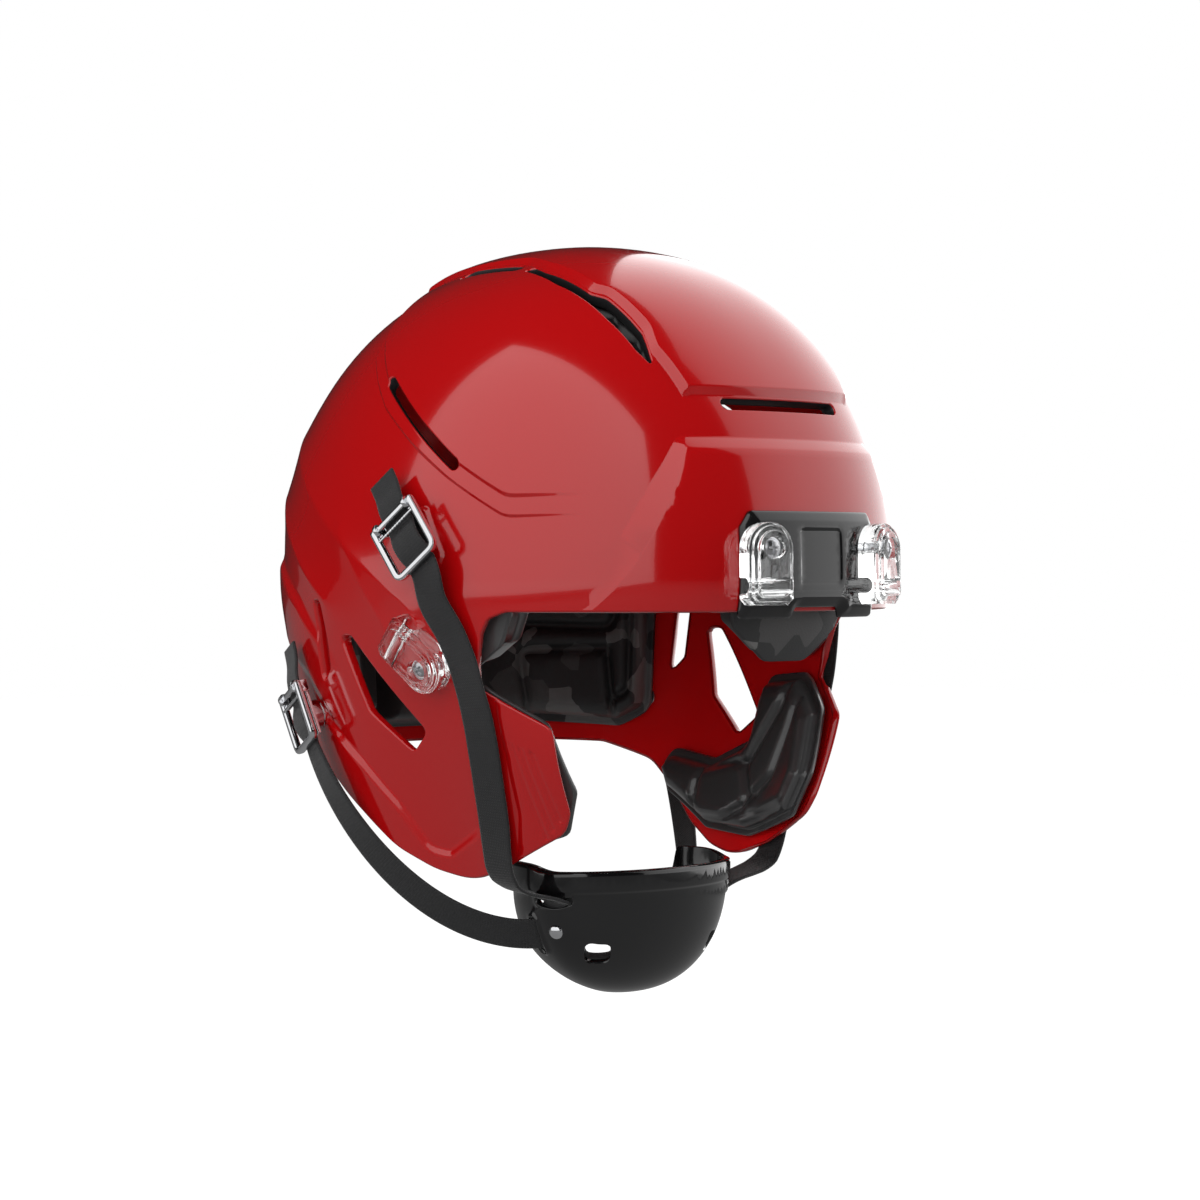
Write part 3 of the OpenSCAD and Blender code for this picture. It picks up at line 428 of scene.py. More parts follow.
# The shell: its raised forms, then its openings.
shell = {"domeStep": 0.9, "bandStep": 1.1, "crownStep": 2.4, "browStep": 2.4, "crownHalf": 51,
         "crownBevel": 3.4, "crownEdge": 0.4, "lineBevel": 0.9, "bandBevel": 1.3, "edge": 0.32, "slotZ": 71.5,
         "slotH": 4.4, "slotHalf": 33, "sideSlotW": 4.4, "rearVentW": 4.6, "lip": 1.3, "ventLip": 0.9,
         "lipRings": 9, "lipSquare": 0.72, "rowStep": 2.2, "fineStep": 1.5, "openStep": 1.6,
         "ventStep": 1.2, "spread": 4.6, "innerSpread": 6.5}
band = {"fadeY": 62, "overY": 34, "fadeZ": 60, "overZ": 20}
bar = {"width": 4.2, "round": 1.6, "fromY": 34, "overY": 34}
groove = {"deep": 0.6, "half": 1.1}
ridge = {"round": 0.8, "top": 0.9}
bead = {"deep": 0.9, "reach": 3.2, "bevel": 0.9, "round": 0.25, "within": 5, "rows": (2.4, 3.2, 3.8, 4.2)}
snapRise = {"tall": 1.5, "width": 1.8, "round": 0.4}
flap = {"deep": 1.7, "width": 2.6, "round": 0.5, "behind": 15, "below": -30, "fromZ": 36, "overZ": 10}
skirt = {"tall": 1.7, "width": 3.4, "round": 1.0, "frontY": 32, "frontOver": 10, "rearY": 72, "rearOver": 24,
         "reach": 12, "reachOver": 4}
brow = {"width": 5.2, "wider": 5.5, "topZ": 58, "overZ": 34, "round": 0.6, "bearing": 74, "overBearing": 46,
        "lowZ": 24, "overLow": 5, "cornerX": 72, "cornerReach": 40, "cornerFall": 0.9, "belowZ": 66,
        "footZ": 40, "overFoot": 22, "slopeZ": -30}


def sideLine(points, radius, side=1, closed=False):
    dense = spaced(rounded(points, radius, closed), 1.5, closed)
    pts = skinAt(*fromSide(dense[:, 0], dense[:, 1], 0.0, side))
    return pts if side > 0 else pts[::-1]


def ringPart(z, fromA, toA, n):
    a = np.linspace(fromA, toA, n)
    return skinAt(a, levelOf(np.full(n, float(z))))


def bearingOf(p):
    return math.atan2(p[0], -p[1])


def domeLine(up):
    low = [(-122, 29), (-64, 28), (-36, 44), (-12, 59), (12, 75), (40, 100)]
    left = sideLine([(y, z + up) for y, z in low] + [(46, 124)], 12)
    over = skinAt(*fromTop(np.linspace(44, -44, 30), np.full(30, 47.0)))
    return np.vstack([left[:-2], over, mirrorLine(left[:-2])])


def crownLine():
    w = shell["crownHalf"]
    edge = [(w, -111), (w + 4, -95), (w + 1, -88), (w + 1, -66), (w + 4, -60), (w + 1, -28), (w - 3, -12),
            (w - 1, 20), (w - 8, 62), (30, 79), (0, 84)]
    half = spaced(rounded(edge, [0, 2, 2, 2, 2, 4, 4, 6, 12, 12, 0]), 1.5)
    half = skinAt(*fromTop(half[:, 0], half[:, 1], 3))
    front = np.linspace(-w + 4, w - 4, 50)
    low = skinAt(*fromFront(front, np.full(50, shell["slotZ"] + shell["slotH"] / 2 + 1.4), 3))
    return np.vstack([half, mirrorLine(half)[1:], low])


def browLine():
    half = spaced(rounded([(87, 8), (76, 31), (59, 57)], [0, 20, 0]), 1.5)
    top = np.stack([np.linspace(57, 0, 30), np.full(30, 57.6)], 1)
    half = np.vstack([half[:-1], rounded([half[-2], (58.5, 57.6), top[3]], 4), top[4:]])
    low = np.stack([np.linspace(102, 88, 14), np.linspace(-16, 7, 14)], 1)
    half = np.vstack([low, half])
    pts = skinAt(*fromFront(half[:, 0], half[:, 1], 3))
    return np.vstack([pts, mirrorLine(pts)[1:]])


skirtLine = [(-30, -105), (-6, -118), (3, -116.5), (15, -98), (31, -81), (52, -63), (70, -45)]


def barLine():
    low = sideLine(skirtLine + [(110, -30), (119, -30)], 4)
    top = sideLine([(116, 8), (100, 8), (67, -11), (33, -43), (10, -76), (-15, -72), (-27, -84),
                    (-30, -105)], 6)
    half = np.vstack([low, ringPart(-30, bearingOf(low[-1]) + 0.03, math.pi, 40)])
    upper = np.vstack([ringPart(8, math.pi, bearingOf(top[0]) + 0.03, 40), top])
    return np.vstack([half, mirrorLine(half)[1:], mirrorLine(upper)[1:], upper[1:-1]])


# Soft ridges: their line, how tall and how wide they are, and how round their corners are.
creases = {
    "rearCrease": ([(98, 61), (36, 20), (-13, -10), (-20, -19)], 1.5, 13, 20),
    "earCrease": ([(28, 19), (1, -19), (-6, -44)], 0.9, 9, 10),
    "fin": ([(103, 34), (66, 7), (41, -11)], 1.8, 9, 10)}
grooves = [[(-55, -70), (-58, -110)], [(-59, -72), (-61.5, -106)], [(-63, -74), (-65.5, -102)]]
flapCrease = [(-53, -43), (-52, -62), (-51.5, -79), (-49.5, -100), (-45, -114), (-38, -128)]
snapPad = [(-14, 29), (-27, 29), (-37.5, 9), (-35, 2), (-27, 1), (-12, 16)]
rimSide = [(-74, -15), (-64, -15), (-56, -18), (-52, -24), (-49, -36), (-48, -47), (-73, -63), (-70.5, -99),
           (-66, -108), (-38, -123), (-16, -131), (4, -127), (23, -118), (39, -104), (56, -90), (82, -82),
           (112, -81)]
rimRadii = [0, 3, 3, 3, 4, 2, 5, 9, 14, 30, 40, 40, 40, 30, 20, 12, 0]


# The lines of the shell's forms, each with the rows of points beside it.
def shellLines():
    step, fine = shell["rowStep"], shell["fineStep"]
    lines = {
        "low": (skinLine(domeLine(-4), step), rampRows(shell["lineBevel"], shell["edge"])),
        "high": (skinLine(domeLine(4), step), rampRows(shell["bandBevel"], shell["edge"])),
        "crown": (skinLine(crownLine(), step, True), rampRows(shell["crownBevel"], shell["crownEdge"])),
        "brow": (skinLine(browLine(), step), (-brow["round"], 0.0, brow["round"])),
        "bar": (skinLine(barLine(), fine, True), (-1.6, 0.8, 2.6, 4.2, 5.8))}
    for name, (pts, tall, wide, bend) in creases.items():
        for side in (1, -1):
            lines[f"{name}{side}"] = skinLine(sideLine(pts, bend, side), step), (-2.4, -1.0, 0, 1.0, 2.4)
    for i, pts in enumerate(grooves):
        for side in (1, -1):
            lines[f"groove{i}{side}"] = skinLine(sideLine(pts, 0, side), fine), (-1.8, -0.9, 0, 0.9, 1.8)
    for side in (1, -1):
        lines[f"snap{side}"] = skinLine(sideLine(snapPad, 2.5, side, True), fine, True), (
            -0.4, 0, 0.4, 1.4, 1.8, 2.2)
        lines[f"flap{side}"] = skinLine(sideLine(flapCrease, 12, side), step), (
            -12, -7, -3, -0.5, 0, 0.5, 2.1, 2.6, 3.1)
        lines[f"skirt{side}"] = skinLine(sideLine(skirtLine, 6, side), fine), (-4.6, -3.4, -2.4, -1.2, 0, 1.0)
    return {name: pair[0] for name, pair in lines.items()}, {name: pair[1] for name, pair in lines.items()}


def browWidth(p):
    return brow["width"] + brow["wider"] * ease((brow["topZ"] - p[:, 2]) / brow["overZ"])


# The two steps of the band, and the bar behind the ear that stands as high as they do.
def bandHeights(p, lines, full):
    dLow, gLow = measure(p, lines["low"])
    dHigh, gHigh = measure(p, lines["high"])
    rLow, sLow = ramp(dLow, shell["lineBevel"], shell["edge"])
    rHigh, sHigh = ramp(dHigh, shell["bandBevel"], shell["edge"])
    h = shell["domeStep"] * rLow + shell["bandStep"] * rHigh
    g = gLow * (shell["domeStep"] * sLow)[:, None] + gHigh * (shell["bandStep"] * sHigh)[:, None]
    fade = ease((-p[:, 1] - band["fadeY"]) / band["overY"]) * ease((band["fadeZ"] - p[:, 2]) / band["overZ"])
    h, g = h + (full - h) * fade, g * (1 - fade)[:, None]
    dBar, gBar = measure(p, lines["bar"])
    rBar, sBar = ramp(dBar, bar["width"], bar["round"])
    near = ease((p[:, 1] - bar["fromY"]) / bar["overY"])
    rBar, sBar = rBar * near, sBar * near
    taller = full * rBar > h
    return np.where(taller, full * rBar, h), np.where(taller[:, None], gBar * (full * sBar)[:, None], g)


# What stands on or is cut into one side: ridges, grooves, the buckle's seat, the flap's step and the skirt.
def sideHeights(p, lines, h, g):
    for name, (pts, size, wide, bend) in creases.items():
        for side in (1, -1):
            d, way = measure(p, lines[f"{name}{side}"])
            near = p[:, 0] * side > 0
            soft = np.sqrt(d * d + ridge["round"])
            bump = size * np.exp(-(soft - ridge["top"]) / wide)
            h = h + np.where(near, bump, 0)
            g = g + way * np.where(near, -bump / wide * d / soft, 0)[:, None]
    for i in range(len(grooves)):
        for side in (1, -1):
            d, way = measure(p, lines[f"groove{i}{side}"])
            cut = groove["deep"] * np.exp(-(d / groove["half"]) ** 2)
            h, g = h - cut, g + way * (cut * 2 * d / groove["half"] ** 2)[:, None]
    for side in (1, -1):
        near = p[:, 0] * side > 0
        d, way = measure(p, lines[f"snap{side}"])
        r, s = ramp(d, snapRise["width"], snapRise["round"])
        h, g = h + snapRise["tall"] * r, g + way * (snapRise["tall"] * s)[:, None]
        d, way = measure(p, lines[f"flap{side}"])
        d, way = -d, -way
        r, s = ramp(d, flap["width"], flap["round"])
        behind = 1 - ease(-d / flap["behind"])
        deeper = ease((-flap["fromZ"] - p[:, 2]) / flap["overZ"])
        sink = flap["deep"] * np.where((p[:, 2] < flap["below"]) & near, deeper, 0)
        h, g = h - sink * (1 - r) * behind, g + way * (sink * s * behind)[:, None]
        d, way = measure(p, lines[f"skirt{side}"])
        r, s = ramp(d + skirt["width"], skirt["width"], skirt["round"])
        ends = ease((p[:, 1] + skirt["frontY"]) / skirt["frontOver"])
        ends = ends * ease((skirt["rearY"] - p[:, 1]) / skirt["rearOver"])
        ends = ends * ease((skirt["reach"] - d) / skirt["reachOver"]) * near
        h, g = h + skirt["tall"] * (1 - r) * ends, g - way * (skirt["tall"] * s * ends)[:, None]
    return h, g


# How far the shell stands out at places on the skin, and the slope of that.
def shellHeights(a, v, lines):
    p = skinAt(a, v)
    full = shell["domeStep"] + shell["bandStep"]
    h, g = sideHeights(p, lines, *bandHeights(p, lines, full))
    top = full + shell["browStep"]
    dBrow, gBrow = measure(p, lines["brow"])
    rBrow, sBrow = ramp(dBrow, browWidth(p), brow["round"])
    corner = np.clip(np.abs(p[:, 0]) - brow["cornerX"], 0, brow["cornerReach"]) * brow["cornerFall"]
    low = ease((brow["bearing"] - np.degrees(np.abs(a))) / brow["overBearing"])
    low = low * ease((brow["lowZ"] - p[:, 2] - corner) / brow["overLow"])
    inBrow = (p[:, 1] < 0) & (p[:, 2] < brow["belowZ"])
    take = np.where(inBrow, np.maximum(rBrow, low), 0) * ease((p[:, 2] + brow["footZ"]) / brow["overFoot"])
    slope = np.where(inBrow & (rBrow > low) & (p[:, 2] > brow["slopeZ"]), sBrow, 0)
    g = g * (1 - take)[:, None] + gBrow * (np.maximum(top - h, 0) * slope)[:, None]
    h = h + np.maximum(top - h, 0) * take
    dCrown, gCrown = measure(p, lines["crown"])
    rCrown, sCrown = ramp(dCrown, shell["crownBevel"], shell["crownEdge"])
    crownTop = full + shell["crownStep"]
    g = g * (1 - rCrown)[:, None] + gCrown * ((crownTop - h) * sCrown)[:, None]
    return h + (crownTop - h) * rCrown, g


def makeRim():
    low = sideLine(rimSide, rimRadii)
    front = ringPart(-skin["browDrop"], 0, bearingOf(low[0]) - 0.02, 50)
    back = ringPart(-skin["napeDrop"] - 1.5, bearingOf(low[-1]) + 0.02, math.pi, 50)
    half = np.vstack([front, low, back])
    return skinLine(np.vstack([half, mirrorLine(half)[1:-1]]), shell["openStep"], True)


def capsule(a, b, width):
    a, b = np.array(a, float), np.array(b, float)
    along = (b - a) / np.linalg.norm(b - a)
    across = np.array([-along[1], along[0]])
    turn = np.linspace(-np.pi / 2, np.pi / 2, 7)[:, None]
    bow = width / 2 * (along * np.cos(turn) + across * np.sin(turn))
    return spaced(np.vstack([b + bow, a - bow]), 1.0, True)


# The vents are drawn more finely, and their walls are painted black satin as painted shade, so that they read
# as dark gaps.
# The rear vents have a bead inside, as the ear opening and the slit behind it have.
def isVent(name):
    return not name.startswith(("ear", "slit", "rim"))


def hasBead(name):
    return name.startswith(("ear", "slit", "rearVent"))


def makeOpenings():
    w = shell["crownHalf"]
    vent = [(w - 0.6, -20), (w + 2.6, -17), (w + 7.5, -43), (w + 8, -60), (w + 8.5, -75), (w + 7.5, -91),
            (w + 5.4, -98), (w + 4.6, -96), (w + 1.8, -88), (w + 1.8, -67), (w + 4.7, -60), (w + 1.9, -29)]
    vent = spaced(rounded(vent, 1.5, True), 1.0, True)
    sideSlot = capsule((13, 82), (-38, 46), shell["sideSlotW"])
    rearVent = capsule((w, -10), (w + 0.5, 24), shell["rearVentW"])
    half, z = shell["slotHalf"], shell["slotZ"]
    frontSlot = capsule((-half, z), (half, z), shell["slotH"])
    out = {}
    for side in (1, -1):
        out[f"ear{side}"] = sideLine([(33, -26), (25, -26), (-11, -66), (0, -75), (22, -58)], 3, side, True)
        out[f"slit{side}"] = sideLine([(52, -11), (45.5, -11), (45.5, -40), (52, -47)], 1.5, side, True)
        out[f"slot{side}"] = skinAt(*fromSide(sideSlot[:, 0], sideSlot[:, 1], 0, side))
        for name, shape in (("rearVent", rearVent), ("vent", vent)):
            out[f"{name}{side}"] = skinAt(*fromTop(shape[:, 0] * side, shape[:, 1], 2))
    out["frontSlot"] = skinAt(*fromFront(frontSlot[:, 0], frontSlot[:, 1], 2))
    return {name: skinLine(pts, shell["ventStep"] if isVent(name) else shell["openStep"], True)
            for name, pts in out.items()}


def outerFace(lines, offsets, rim, holes, rimMap, holeMaps):
    rows = []
    for name, line in lines.items():
        rows += [(toMap(*beside(line, d)), line["closed"]) for d in offsets[name]]
    inner = lines["brow"]
    width = browWidth(inner["pts"])
    for extra in (-brow["round"], 0, brow["round"]):
        rows.append((toMap(*fromSpace(inner["pts"] + inner["left"] * (width + extra)[:, None])), False))
    for d in (0.9, 2.2):
        rows.append((toMap(*beside(rim, shell["lip"] + d)), True))
        rows += [(toMap(*beside(line, -shell["lip"] - d)), True) for line in holes.values()]
    loops = [(rimMap, True)] + [(m, True) for m in holeMaps]
    scatter = scattered(shell["spread"], rows + loops, 1.5)
    print("shell rows", sum(len(r) for r, c in rows), "scatter", len(scatter))
    q, tris = triangles(scatter, rows, rimMap, holeMaps)
    a, v = fromMap(q)
    h, g = shellHeights(a, v, lines)
    base = skinFacing(a, v, h)
    normal = unitRows(base - (g - base * (g * base).sum(1)[:, None]))
    verts = skinAt(a, v, h)
    print("shell outer", len(verts), len(tris))
    return verts, tris, normal


def innerFace(rim, holes, rimMap, holeMaps):
    rows = [(toMap(*beside(rim, shell["lip"] + 1)), True)]
    beads = [line for name, line in holes.items() if hasBead(name)]
    for line in beads:
        rows += [(toMap(*beside(line, -d)), True) for d in bead["rows"]]
    loops = [(rimMap, True)] + [(m, True) for m in holeMaps]
    q, tris = triangles(scattered(shell["innerSpread"], rows + loops, 2.5), rows, rimMap, holeMaps)
    a, v = fromMap(q)
    deep = np.full(len(a), float(skin["wall"]))
    flat = skinAt(a, v, -skin["wall"])
    tilt = -skinFacing(a, v, -skin["wall"])
    for line in beads:
        d, way = measure(flat, line)
        r, s = ramp(-d - bead["reach"], bead["bevel"], bead["round"])
        deep = deep + bead["deep"] * (1 - r) * (d < 0) * (np.abs(d) < bead["within"])
        tilt = tilt - way * (bead["deep"] * s)[:, None]
    return skinAt(a, v, -deep), tris[:, ::-1], unitRows(tilt)


# The rounded edge of an opening, from the outer face round to the inner one.
def lipFace(name, line, lines):
    n = shell["lipRings"]
    reach = shell["lip"] if name == "rim" or hasBead(name) else shell["ventLip"]
    deeper = bead["deep"] if hasBead(name) else 0
    a, v = beside(line, reach if name == "rim" else -reach)
    h, g = shellHeights(a, v, lines)
    out, inn = skinAt(a, v, h), skinAt(a, v, -skin["wall"] - deeper)
    mid = (out + inn) / 2
    away = -line["left"] if name == "rim" else line["left"]
    grid = []
    for t in np.linspace(0, np.pi, n):
        c, s = np.cos(t), np.sin(t)
        c = np.sign(c) * abs(c) ** shell["lipSquare"]
        grid.append(mid + (out - mid) * c + away * reach * s ** shell["lipSquare"])
    grid = np.array(grid)
    normal = np.cross(np.roll(grid, -1, 1) - np.roll(grid, 1, 1), np.gradient(grid, axis=0))
    normal /= np.maximum(np.linalg.norm(normal, axis=-1, keepdims=True), 1e-9)
    face = np.sign((normal[n // 2] * away).sum())
    normal *= face
    normal[0] = skinFacing(a, v, h)
    normal[-1] = -skinFacing(a, v, -skin["wall"])
    quads = ringQuads(n, grid.shape[1])
    return grid.reshape(-1, 3), [f[::-1] for f in quads] if face > 0 else quads, normal.reshape(-1, 3)


def makeShell():
    lines, offsets = shellLines()
    rim, holes = makeRim(), makeOpenings()
    rimMap = toMap(*beside(rim, shell["lip"]))
    holeMaps = [toMap(*beside(line, -(shell["ventLip"] if isVent(name) else shell["lip"])))
                for name, line in holes.items()]
    parts = [outerFace(lines, offsets, rim, holes, rimMap, holeMaps), innerFace(rim, holes, rimMap, holeMaps)]
    finishOf = [0] * len(parts[0][1]) + [2] * len(parts[1][1])
    for name, line in {"rim": rim, **holes}.items():
        part = lipFace(name, line, lines)
        parts.append(part)
        # A vent's edge is red, and its wall is painted black satin: painted shade for the dark gap.
        pale = len(part[1]) // 4 if isVent(name) else len(part[1])
        finishOf += [0] * pale + [1] * (len(part[1]) - pale)
    verts, faces = joined([part[:2] for part in parts])
    piece = meshObject("helmet_shell", verts, faces, np.vstack([part[2] for part in parts]))
    piece.data.polygons.foreach_set("material_index", finishOf)
    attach(piece, "shell")
    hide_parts("shell")
    return piece


shellPiece = makeShell()
print("shell made", len(shellPiece.data.vertices))


# Gives a node its inputs: links from sockets, and plain values for the rest.
def feed(tree, node, inputs):
    for key, value in inputs.items():
        if isinstance(value, bpy.types.NodeSocket):
            tree.links.new(value, node.inputs[key])
        else:
            node.inputs[key].default_value = value
    return node


def addNode(tree, kind, inputs, **settings):
    node = tree.nodes.new("ShaderNode" + kind)
    for label, value in settings.items():
        setattr(node, label, value)
    return feed(tree, node, inputs)


def mathNode(tree, operation, *values):
    return addNode(tree, "Math", dict(enumerate(values)), operation=operation).outputs[0]


# Effects that several finishes share, as node groups.
def nodeGroup(name, inputs, outputs):
    group = bpy.data.node_groups.new(name, "ShaderNodeTree")
    for label, kind, value in inputs:
        socket = group.interface.new_socket(label, in_out="INPUT", socket_type="NodeSocket" + kind)
        socket.default_value = value
    for label, kind in outputs:
        group.interface.new_socket(label, in_out="OUTPUT", socket_type="NodeSocket" + kind)
    return group, group.nodes.new("NodeGroupInput").outputs, group.nodes.new("NodeGroupOutput")


def multiplied(tree, factor, first, second):
    node = addNode(tree, "Mix", {}, data_type="RGBA", blend_type="MULTIPLY")
    return feed(tree, node, {"Factor": factor, 6: first, 7: second}).outputs[2]


def makeGrain():
    group, given, out = nodeGroup("moulded grain", [
        ("Colour", "Color", (0.5, 0.5, 0.5, 1)), ("Scale", "Float", 400.0), ("Shade", "Float", 0.1),
        ("Roughness", "Float", 0.3), ("Uneven", "Float", 0.08)],
        [("Colour", "Color"), ("Roughness", "Float"), ("Height", "Float")])
    place = addNode(group, "TexCoord", {}).outputs["Object"]
    fine = addNode(group, "TexNoise", {"Detail": 3, "Scale": given["Scale"], "Vector": place}).outputs["Fac"]
    broad = addNode(group, "TexNoise", {"Detail": 4, "Scale": 18, "Vector": place}).outputs["Fac"]
    shade = mathNode(group, "MULTIPLY", broad, given["Shade"])
    feed(group, out, {
        "Colour": multiplied(group, shade, given["Colour"], (0.6, 0.6, 0.6, 1)), "Height": fine,
        "Roughness": mathNode(group, "MULTIPLY_ADD", broad, given["Uneven"], given["Roughness"])})
    return group


# Ribs across the webbing, and picks along it that each rib shifts.
def makeWeave():
    group, given, out = nodeGroup("flat weave", [
        ("Colour", "Color", (0.03, 0.03, 0.03, 1)), ("Rib", "Float", 0.9), ("Pick", "Float", 1.3)],
        [("Colour", "Color"), ("Height", "Float")])
    place = addNode(group, "UVMap", {}).outputs["UV"]
    split = addNode(group, "SeparateXYZ", {0: place}).outputs

    def wave(source, pitch, offset):
        turns = mathNode(group, "DIVIDE", source, pitch)
        return mathNode(group, "SINE", mathNode(group, "MULTIPLY_ADD", turns, 2 * math.pi, offset))
    rib = wave(split[0], given["Rib"], 0)
    pick = wave(split[1], given["Pick"], mathNode(group, "MULTIPLY", rib, 1.5))
    both = mathNode(group, "MULTIPLY_ADD", rib, 0.45, pick)
    height = addNode(group, "MapRange", {"From Min": -1.45, "From Max": 1.45, "Value": both}).outputs[0]
    # The colour follows the weave's relief: painted shade darkens its hollows and painted light brightens its
    # raised picks.
    tone = addNode(group, "MapRange", {"To Min": 0.35, "To Max": 1.3, "Value": height}).outputs[0]
    feed(group, out, {"Colour": multiplied(group, 0.75, given["Colour"], tone), "Height": height})
    return group


grainGroup = makeGrain()
weaveGroup = makeWeave()


def newFinish(name):
    finish = bpy.data.materials.new(name)
    finish.use_nodes = True
    return finish, finish.node_tree, finish.node_tree.nodes["Principled BSDF"]


def dented(tree, strength, height):
    bump = addNode(tree, "Bump", {"Strength": strength, "Distance": 0.0004, "Height": height})
    return bump.outputs["Normal"]


# A moulded finish: its colour and roughness, then the grain's scale, shade, unevenness and depth.
def plainFinish(name, colour, rough, scale, shade, uneven, depth, **sockets):
    finish, tree, shader = newFinish(name)
    given = {"Colour": (*colour, 1), "Scale": scale, "Shade": shade, "Roughness": rough, "Uneven": uneven}
    grain = addNode(tree, "Group", {}, node_tree=grainGroup)
    made = feed(tree, grain, given).outputs
    feed(tree, shader, {"Base Color": made["Colour"], "Roughness": made["Roughness"],
                        "Normal": dented(tree, depth, made["Height"])})
    feed(tree, shader, {label.replace("_", " "): value for label, value in sockets.items()})
    return finish


def webbingFinish():
    finish, tree, shader = newFinish("webbing")
    weave = addNode(tree, "Group", {}, node_tree=weaveGroup)
    made = feed(tree, weave, {"Colour": (0.016, 0.016, 0.017, 1)}).outputs
    feed(tree, shader, {"Base Color": made["Colour"], "Normal": dented(tree, 0.45, made["Height"]),
                        "Roughness": 0.62, "Sheen Weight": 0.25, "Sheen Roughness": 0.4})
    return finish


# Cloth in patches of three dark tones.
def patchFinish():
    finish, tree, shader = newFinish("pad cloth")
    place = addNode(tree, "TexCoord", {}).outputs["Object"]
    cells = addNode(tree, "TexVoronoi", {"Scale": 62, "Randomness": 0.9, "Vector": place},
                    distance="MANHATTAN")
    split = addNode(tree, "SeparateColor", {0: cells.outputs["Color"]})
    tone = addNode(tree, "ValToRGB", {"Fac": split.outputs[0]})
    tone.color_ramp.interpolation = "CONSTANT"
    tone.color_ramp.elements[0].color = (0.026, 0.026, 0.027, 1)
    tone.color_ramp.elements[1].position = 0.55
    tone.color_ramp.elements[1].color = (0.065, 0.064, 0.064, 1)
    lightest = tone.color_ramp.elements.new(0.76)
    lightest.color = (0.14, 0.138, 0.136, 1)
    fine = addNode(tree, "TexNoise", {"Scale": 1400, "Vector": place}).outputs["Fac"]
    feed(tree, shader, {"Base Color": tone.outputs["Color"], "Normal": dented(tree, 0.25, fine),
                        "Roughness": 0.5})
    return finish


redGloss = plainFinish("red gloss", (0.41, 0.002, 0.003), 0.11, 260, 0.06, 0.03, 0.006, Coat_Weight=0.7,
                       Coat_Roughness=0.04)
# The inner face is the shell's red painted far lighter: painted light standing in for the light that bounces
# about inside the shell.
redInnerPaintedLight = plainFinish("red inner face painted lighter", (0.86, 0.007, 0.009), 0.16, 260, 0.06, 0.03, 0.006)
blackGloss = plainFinish("black gloss", (0.006, 0.006, 0.0065), 0.13, 500, 0.3, 0.05, 0.012, Coat_Weight=0.5,
                         Coat_Roughness=0.08)
cupGloss = plainFinish("cup gloss", (0.0045, 0.0045, 0.005), 0.1, 500, 0.3, 0.04, 0.008, Coat_Weight=0.8,
                       Coat_Roughness=0.04)
blackSatin = plainFinish("black satin", (0.014, 0.014, 0.015), 0.34, 900, 0.3, 0.1, 0.08)
padSkin = plainFinish("pad skin", (0.034, 0.034, 0.035), 0.36, 1300, 0.35, 0.1, 0.1, Sheen_Weight=0.1)
jawSkin = plainFinish("jaw pad skin", (0.052, 0.052, 0.053), 0.26, 1300, 0.2, 0.05, 0.03, Coat_Weight=0.8,
                      Coat_Roughness=0.13)
chromeFinish = plainFinish("chrome", (0.82, 0.83, 0.85), 0.07, 300, 0.1, 0.05, 0.01, Metallic=1.0)
steelFinish = plainFinish("screw steel", (0.6, 0.6, 0.62), 0.2, 700, 0.3, 0.1, 0.05, Metallic=1.0)
clearFinish = plainFinish("clear plastic", (0.97, 0.98, 0.98), 0.03, 200, 0.0, 0.02, 0.01,
                          Transmission_Weight=1.0, IOR=1.585)
webbing = webbingFinish()
padCloth = patchFinish()
for finish in (redGloss, blackSatin, redInnerPaintedLight):
    shellPiece.data.materials.append(finish)


# A piece that keeps a solid's own shape, with its sharp edges rounded off.
def softened(node, finish, width, angle=32):
    source = frame["nodes"][node]
    mesh = source.data.copy()
    mesh.materials.clear()
    work = bmesh.new()
    work.from_mesh(mesh)
    bmesh.ops.remove_doubles(work, verts=work.verts, dist=2e-6)
    bmesh.ops.dissolve_limit(work, angle_limit=math.radians(1.0), verts=work.verts, edges=work.edges)
    for face in work.faces:
        face.smooth = True
    work.to_mesh(mesh)
    work.free()
    piece = bpy.data.objects.new(node + "_soft", mesh)
    bpy.context.scene.collection.objects.link(piece)
    mesh.materials.append(finish)
    if width:
        bevel = piece.modifiers.new("bevel", "BEVEL")
        bevel.width = width * mm
        bevel.segments = 3
        bevel.limit_method = "ANGLE"
        bevel.angle_limit = math.radians(angle)
        bevel.harden_normals = True
        bevel.use_clamp_overlap = True
    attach(piece, source["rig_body"])
    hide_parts(node)


for side in ("right", "left"):
    for place in ("upper", "lower"):
        softened(f"{place}_buckle_base_{side}", chromeFinish, 0.25)
    for place in ("front", "side"):
        softened(f"{place}_clip_{side}", clearFinish, 0.6, 40)
for node in ("clip_screws", "rear_bumper_screws", "clip_nuts", "snap_stud_nuts"):
    softened(node, steelFinish, 0.2)
softened("snap_studs", chromeFinish, 0.25)
softened("chin_cup_rivets", chromeFinish, 0)
softened("crown_lattice", blackSatin, 0)
softened("pad_patches", padCloth, 0.2)
print("fittings made")


# A moulded plate or pad: an outline on a flat drawing, with a height at every point of its face, laid on
# what carries it by place(points, height). Lines are drawn in it, each with the rows of points beside it.
def lifted(q):
    return np.hstack([q, np.zeros((len(q), 1))])


def flatLine(points, step, closed=True):
    pts = spaced(points, step, closed)
    if closed and turning(pts) < 0:
        pts = pts[::-1]
    along = wayAlong(pts, closed)
    return {"pts": lifted(pts), "left": lifted(np.stack([-along[:, 1], along[:, 0]], 1)), "closed": closed}


def grid2d(outline, step):
    lo, hi = outline.min(0), outline.max(0)
    y = np.arange(lo[1], hi[1], step * 0.87)
    gx, gy = np.meshgrid(np.arange(lo[0], hi[0], step), y)
    gx = gx + (np.arange(len(y)) % 2)[:, None] * step / 2
    return np.stack([gx.ravel(), gy.ravel()], 1)


